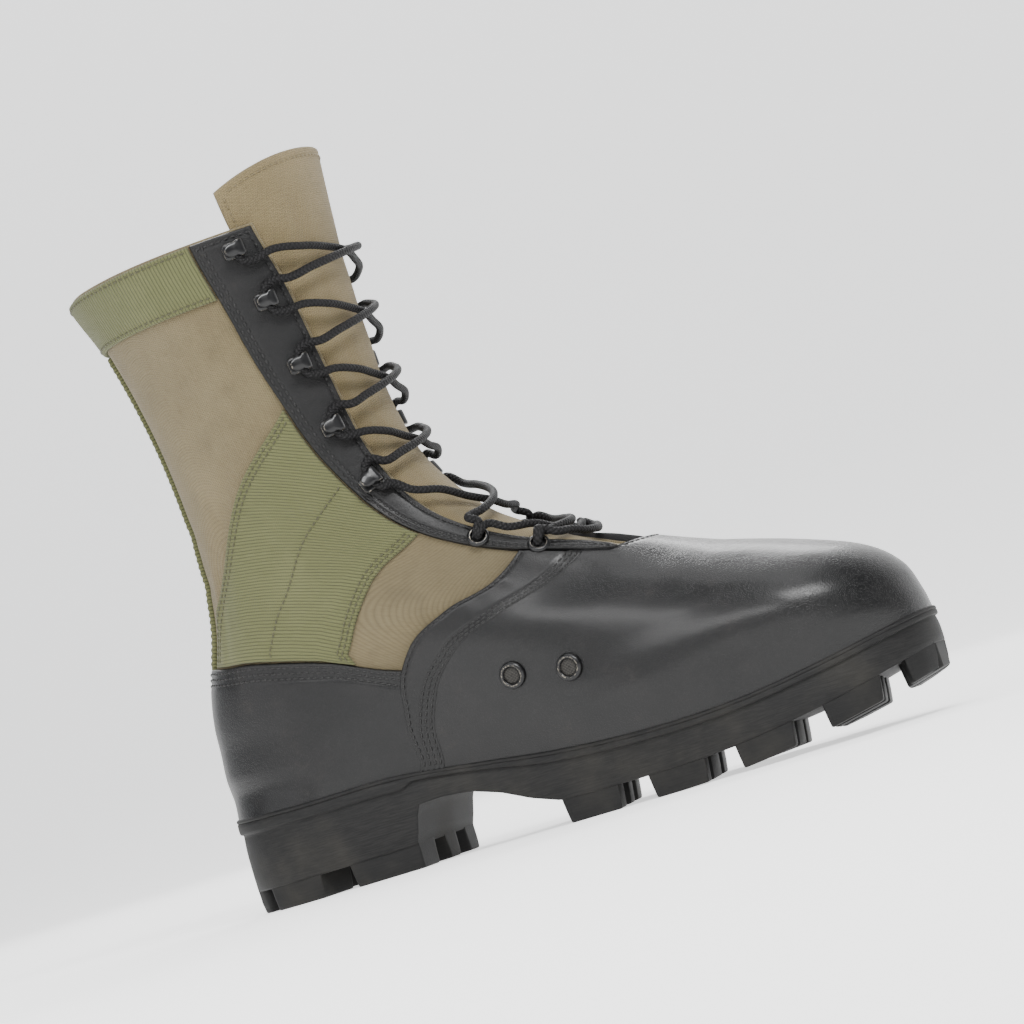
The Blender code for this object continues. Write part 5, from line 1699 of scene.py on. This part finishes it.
def screen_mesh():
    """Fine wire screen behind the vents; the gaps between the wires are painted dark as shade."""
    made_finish = Finish("vent_screen", {"Specular IOR Level": 0.4})
    x = made_finish.node("SeparateXYZ", None, {0: made_finish.place()})
    z = Wire(made_finish, x.socket.node.outputs[2])
    wire_rate = 5200.0
    wire_x = (x * wire_rate).math("SINE").math("ABSOLUTE")
    wire_z = (z * wire_rate).math("SINE").math("ABSOLUTE")
    wires = wire_x.math("MINIMUM", wire_z)
    open_part = made_finish.ramp(wires, 0.25, 0.5)
    # Painted shade: the open gaps between the wires take the near-black colour.
    colour = made_finish.colour(open_part, shade(70, 67, 62), shade(8, 8, 8))
    normal = made_finish.bump(1.0 - open_part, 0.2)
    return made_finish.finish(base_color=colour, roughness=0.45 + open_part * 0.4, normal=normal)


# Painted shade: the near-black finish of the discs set into the eyelet holes.
def hole_shade_finish():
    made_finish = Finish("painted_hole_shade", {"Roughness": 0.95, "Specular IOR Level": 0.1})
    grit = made_finish.noise(made_finish.place(), 900.0, 2.0)
    return made_finish.finish(base_color=made_finish.colour(grit, shade(6, 6, 6), shade(14, 13, 12)))


finishes.update({
    # The third number is the grey of rubbed places, which is also painted highlight, most on the eyestays.
    "vamp": leather("vamp_leather", 0.38, 0.06, 0.26),
    "leather": leather("panel_leather", 0.41, 0.08, 0.22),
    "eyestay": leather("eyestay_leather", 0.50, 0.22, 0.12),
    "sole": rubber("sole_rubber", 1.0),
    "tread": rubber("tread_rubber", 0.45),
    "metal": lacquered(),
    "lace": braid(),
    "thread_black": thread("black_thread", shade(9, 9, 9), shade(34, 33, 32)),
    "thread_olive": thread("olive_thread", shade(48, 48, 30), shade(78, 77, 50)),
    "thread_tan": thread("tan_thread", shade(84, 74, 50), shade(116, 103, 74)),
    "felt": felt(),
    "screen": screen_mesh(),
    "hole": hole_shade_finish(),
})
print("finishes", len(finishes))

# %% [markdown]
# Every piece takes one finish by its name. What isn't in the list is a metal fitting, the painted
# shade in a hole or a wire screen. The insole keeps its own shape and only gets the felt.

# %% Each piece gets its finish
DRESSES = {
    "upper": "canvas", "front": "canvas", "tongue": "tongue",
    "sole": "sole", "bead": "sole", "tread": "tread", "lace": "lace",
    "vamp": "vamp", "counter": "leather", "collar": "tape", "back": "tape",
    "strip_medial": "leather", "strip_lateral": "leather",
    "eyestay_medial": "eyestay", "eyestay_lateral": "eyestay",
    "tape_medial": "tape", "tape_lateral": "tape",
    "thread_black": "thread_black", "thread_olive": "thread_olive", "thread_tan": "thread_tan",
}
for name, item in made.items():
    key = DRESSES.get(name, "metal")
    if name.endswith("_hole"):
        key = "hole"
    if name.endswith("_screen"):
        key = "screen"
    item.data.materials.append(finishes[key])
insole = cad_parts["insole"]
for place_in_list in range(len(insole.data.materials)):
    insole.material_slots[place_in_list].link = "OBJECT"
    insole.material_slots[place_in_list].material = finishes["felt"]
print("dressed", len(made), "pieces")

# %% [markdown]
# The studio is a pale sweep: a floor that curves up into a wall with no line. A large soft light
# stands over the toe side, a weaker one fills the heel side, and one behind draws the rims. One
# more hangs overhead, and a low narrow one lights the flank that the camera sees.

# %% Studio
SWEEP_WIDTH = 6.0
SWEEP_FRONT = -3.0
SWEEP_BEND = 2.0
SWEEP_RADIUS = 1.2
bend = np.linspace(0, np.pi / 2, 24)
curve_y = SWEEP_BEND + SWEEP_RADIUS * np.sin(bend)
profile_y = np.concatenate([[SWEEP_FRONT, 0.0], curve_y, [SWEEP_BEND + SWEEP_RADIUS]])
profile_z = np.concatenate([[0.0, 0.0], SWEEP_RADIUS * (1 - np.cos(bend)), [4.5]])
sweep_x = np.linspace(-SWEEP_WIDTH, SWEEP_WIDTH, 3)
grid_x, grid_y = np.meshgrid(sweep_x, profile_y, indexing="ij")
grid_z = np.broadcast_to(profile_z, grid_x.shape)
sweep_points = np.stack([grid_x, grid_y, grid_z], -1).reshape(-1, 3)
sweep_mesh = bpy.data.meshes.new("sweep")
sweep_mesh.from_pydata(sweep_points.tolist(), [], quads(3, len(profile_y)).tolist())
sweep_mesh.polygons.foreach_set("use_smooth", np.ones(len(sweep_mesh.polygons), bool))
sweep = bpy.data.objects.new("sweep", sweep_mesh)
bpy.context.collection.objects.link(sweep)
paper = Finish("studio_paper", {"Roughness": 0.9, "Specular IOR Level": 0.1, "Emission Strength": 1.0})
paper.shader.inputs["Emission Color"].default_value = (1.0, 1.0, 1.0, 1.0)
fibres = paper.noise(paper.place(), 40.0, 3.0)
paper_colour = paper.colour(fibres, shade(226, 226, 225), shade(231, 231, 230))
sweep_mesh.materials.append(paper.finish(base_color=paper_colour))

AZIMUTH = np.radians(18.2)
ELEVATION = np.radians(-3.0)
ROLL = np.radians(17.2)
DISTANCE = 1.7
FOCAL = 146.0
AIM = np.array([0.0, 0.0, 0.128])


def area_light(name, place, size, power, tint=(1.0, 1.0, 1.0)):
    """Square light that looks at the middle of the boot."""
    lamp = bpy.data.lights.new(name, "AREA")
    lamp.shape = "RECTANGLE"
    lamp.size, lamp.size_y = size
    lamp.energy = power
    lamp.color = tint
    item = bpy.data.objects.new(name, lamp)
    item.location = place
    toward = -(np.array(place) - AIM)
    ahead = toward / np.linalg.norm(toward)
    right = np.cross(ahead, [0, 0, 1.0])
    right /= np.linalg.norm(right)
    upward = np.cross(right, ahead)
    turn = np.column_stack([right, upward, -ahead])
    item.rotation_mode = "QUATERNION"
    item.rotation_quaternion = mathutils.Matrix(turn.tolist()).to_quaternion()
    bpy.context.collection.objects.link(item)
    return item


area_light("key", (1.0, -1.5, 1.7), (1.3, 0.8), 66.0)
area_light("fill", (-1.7, -1.2, 0.9), (1.6, 1.4), 12.0)
area_light("rim", (-0.6, 1.5, 1.5), (1.8, 0.6), 34.0)
area_light("top", (0.1, 0.0, 2.2), (1.6, 1.6), 22.0)
area_light("flank", (-0.35, -1.5, 0.75), (1.1, 0.3), 11.0)
world = bpy.data.worlds.new("studio_air")
world.use_nodes = True
world.node_tree.nodes["Background"].inputs[0].default_value = (0.9, 0.93, 1.0, 1.0)
world.node_tree.nodes["Background"].inputs[1].default_value = 0.34
bpy.context.scene.world = world
print("lights", 5)

# %% [markdown]
# The camera keeps the photo's bearing and roll to the boot. In the photo the boot leans on its
# heel and is seen partly from below. Here it stands on the floor, so the camera comes down to it.

# %% Camera
level_reach = np.cos(ELEVATION)
back_way = np.array([np.sin(AZIMUTH) * level_reach, -np.cos(AZIMUTH) * level_reach, np.sin(ELEVATION)])
right_way = np.cross([0, 0, 1.0], back_way)
right_way /= np.linalg.norm(right_way)
up_way = np.cross(back_way, right_way)
rolled_right = np.cos(ROLL) * right_way - np.sin(ROLL) * up_way
rolled_up = np.sin(ROLL) * right_way + np.cos(ROLL) * up_way
camera_data = bpy.data.cameras.new("photo_camera")
camera_data.lens = FOCAL
camera_data.sensor_width = 36.0
camera_data.clip_start = 0.05
camera = bpy.data.objects.new("photo_camera", camera_data)
turn = np.column_stack([rolled_right, rolled_up, back_way])
place = AIM + back_way * DISTANCE
matrix = np.eye(4)
matrix[:3, :3] = turn
matrix[:3, 3] = place
camera.matrix_world = matrix.T.tolist()
bpy.context.collection.objects.link(camera)
bpy.context.scene.camera = camera
print("camera at", np.round(place, 3).tolist())
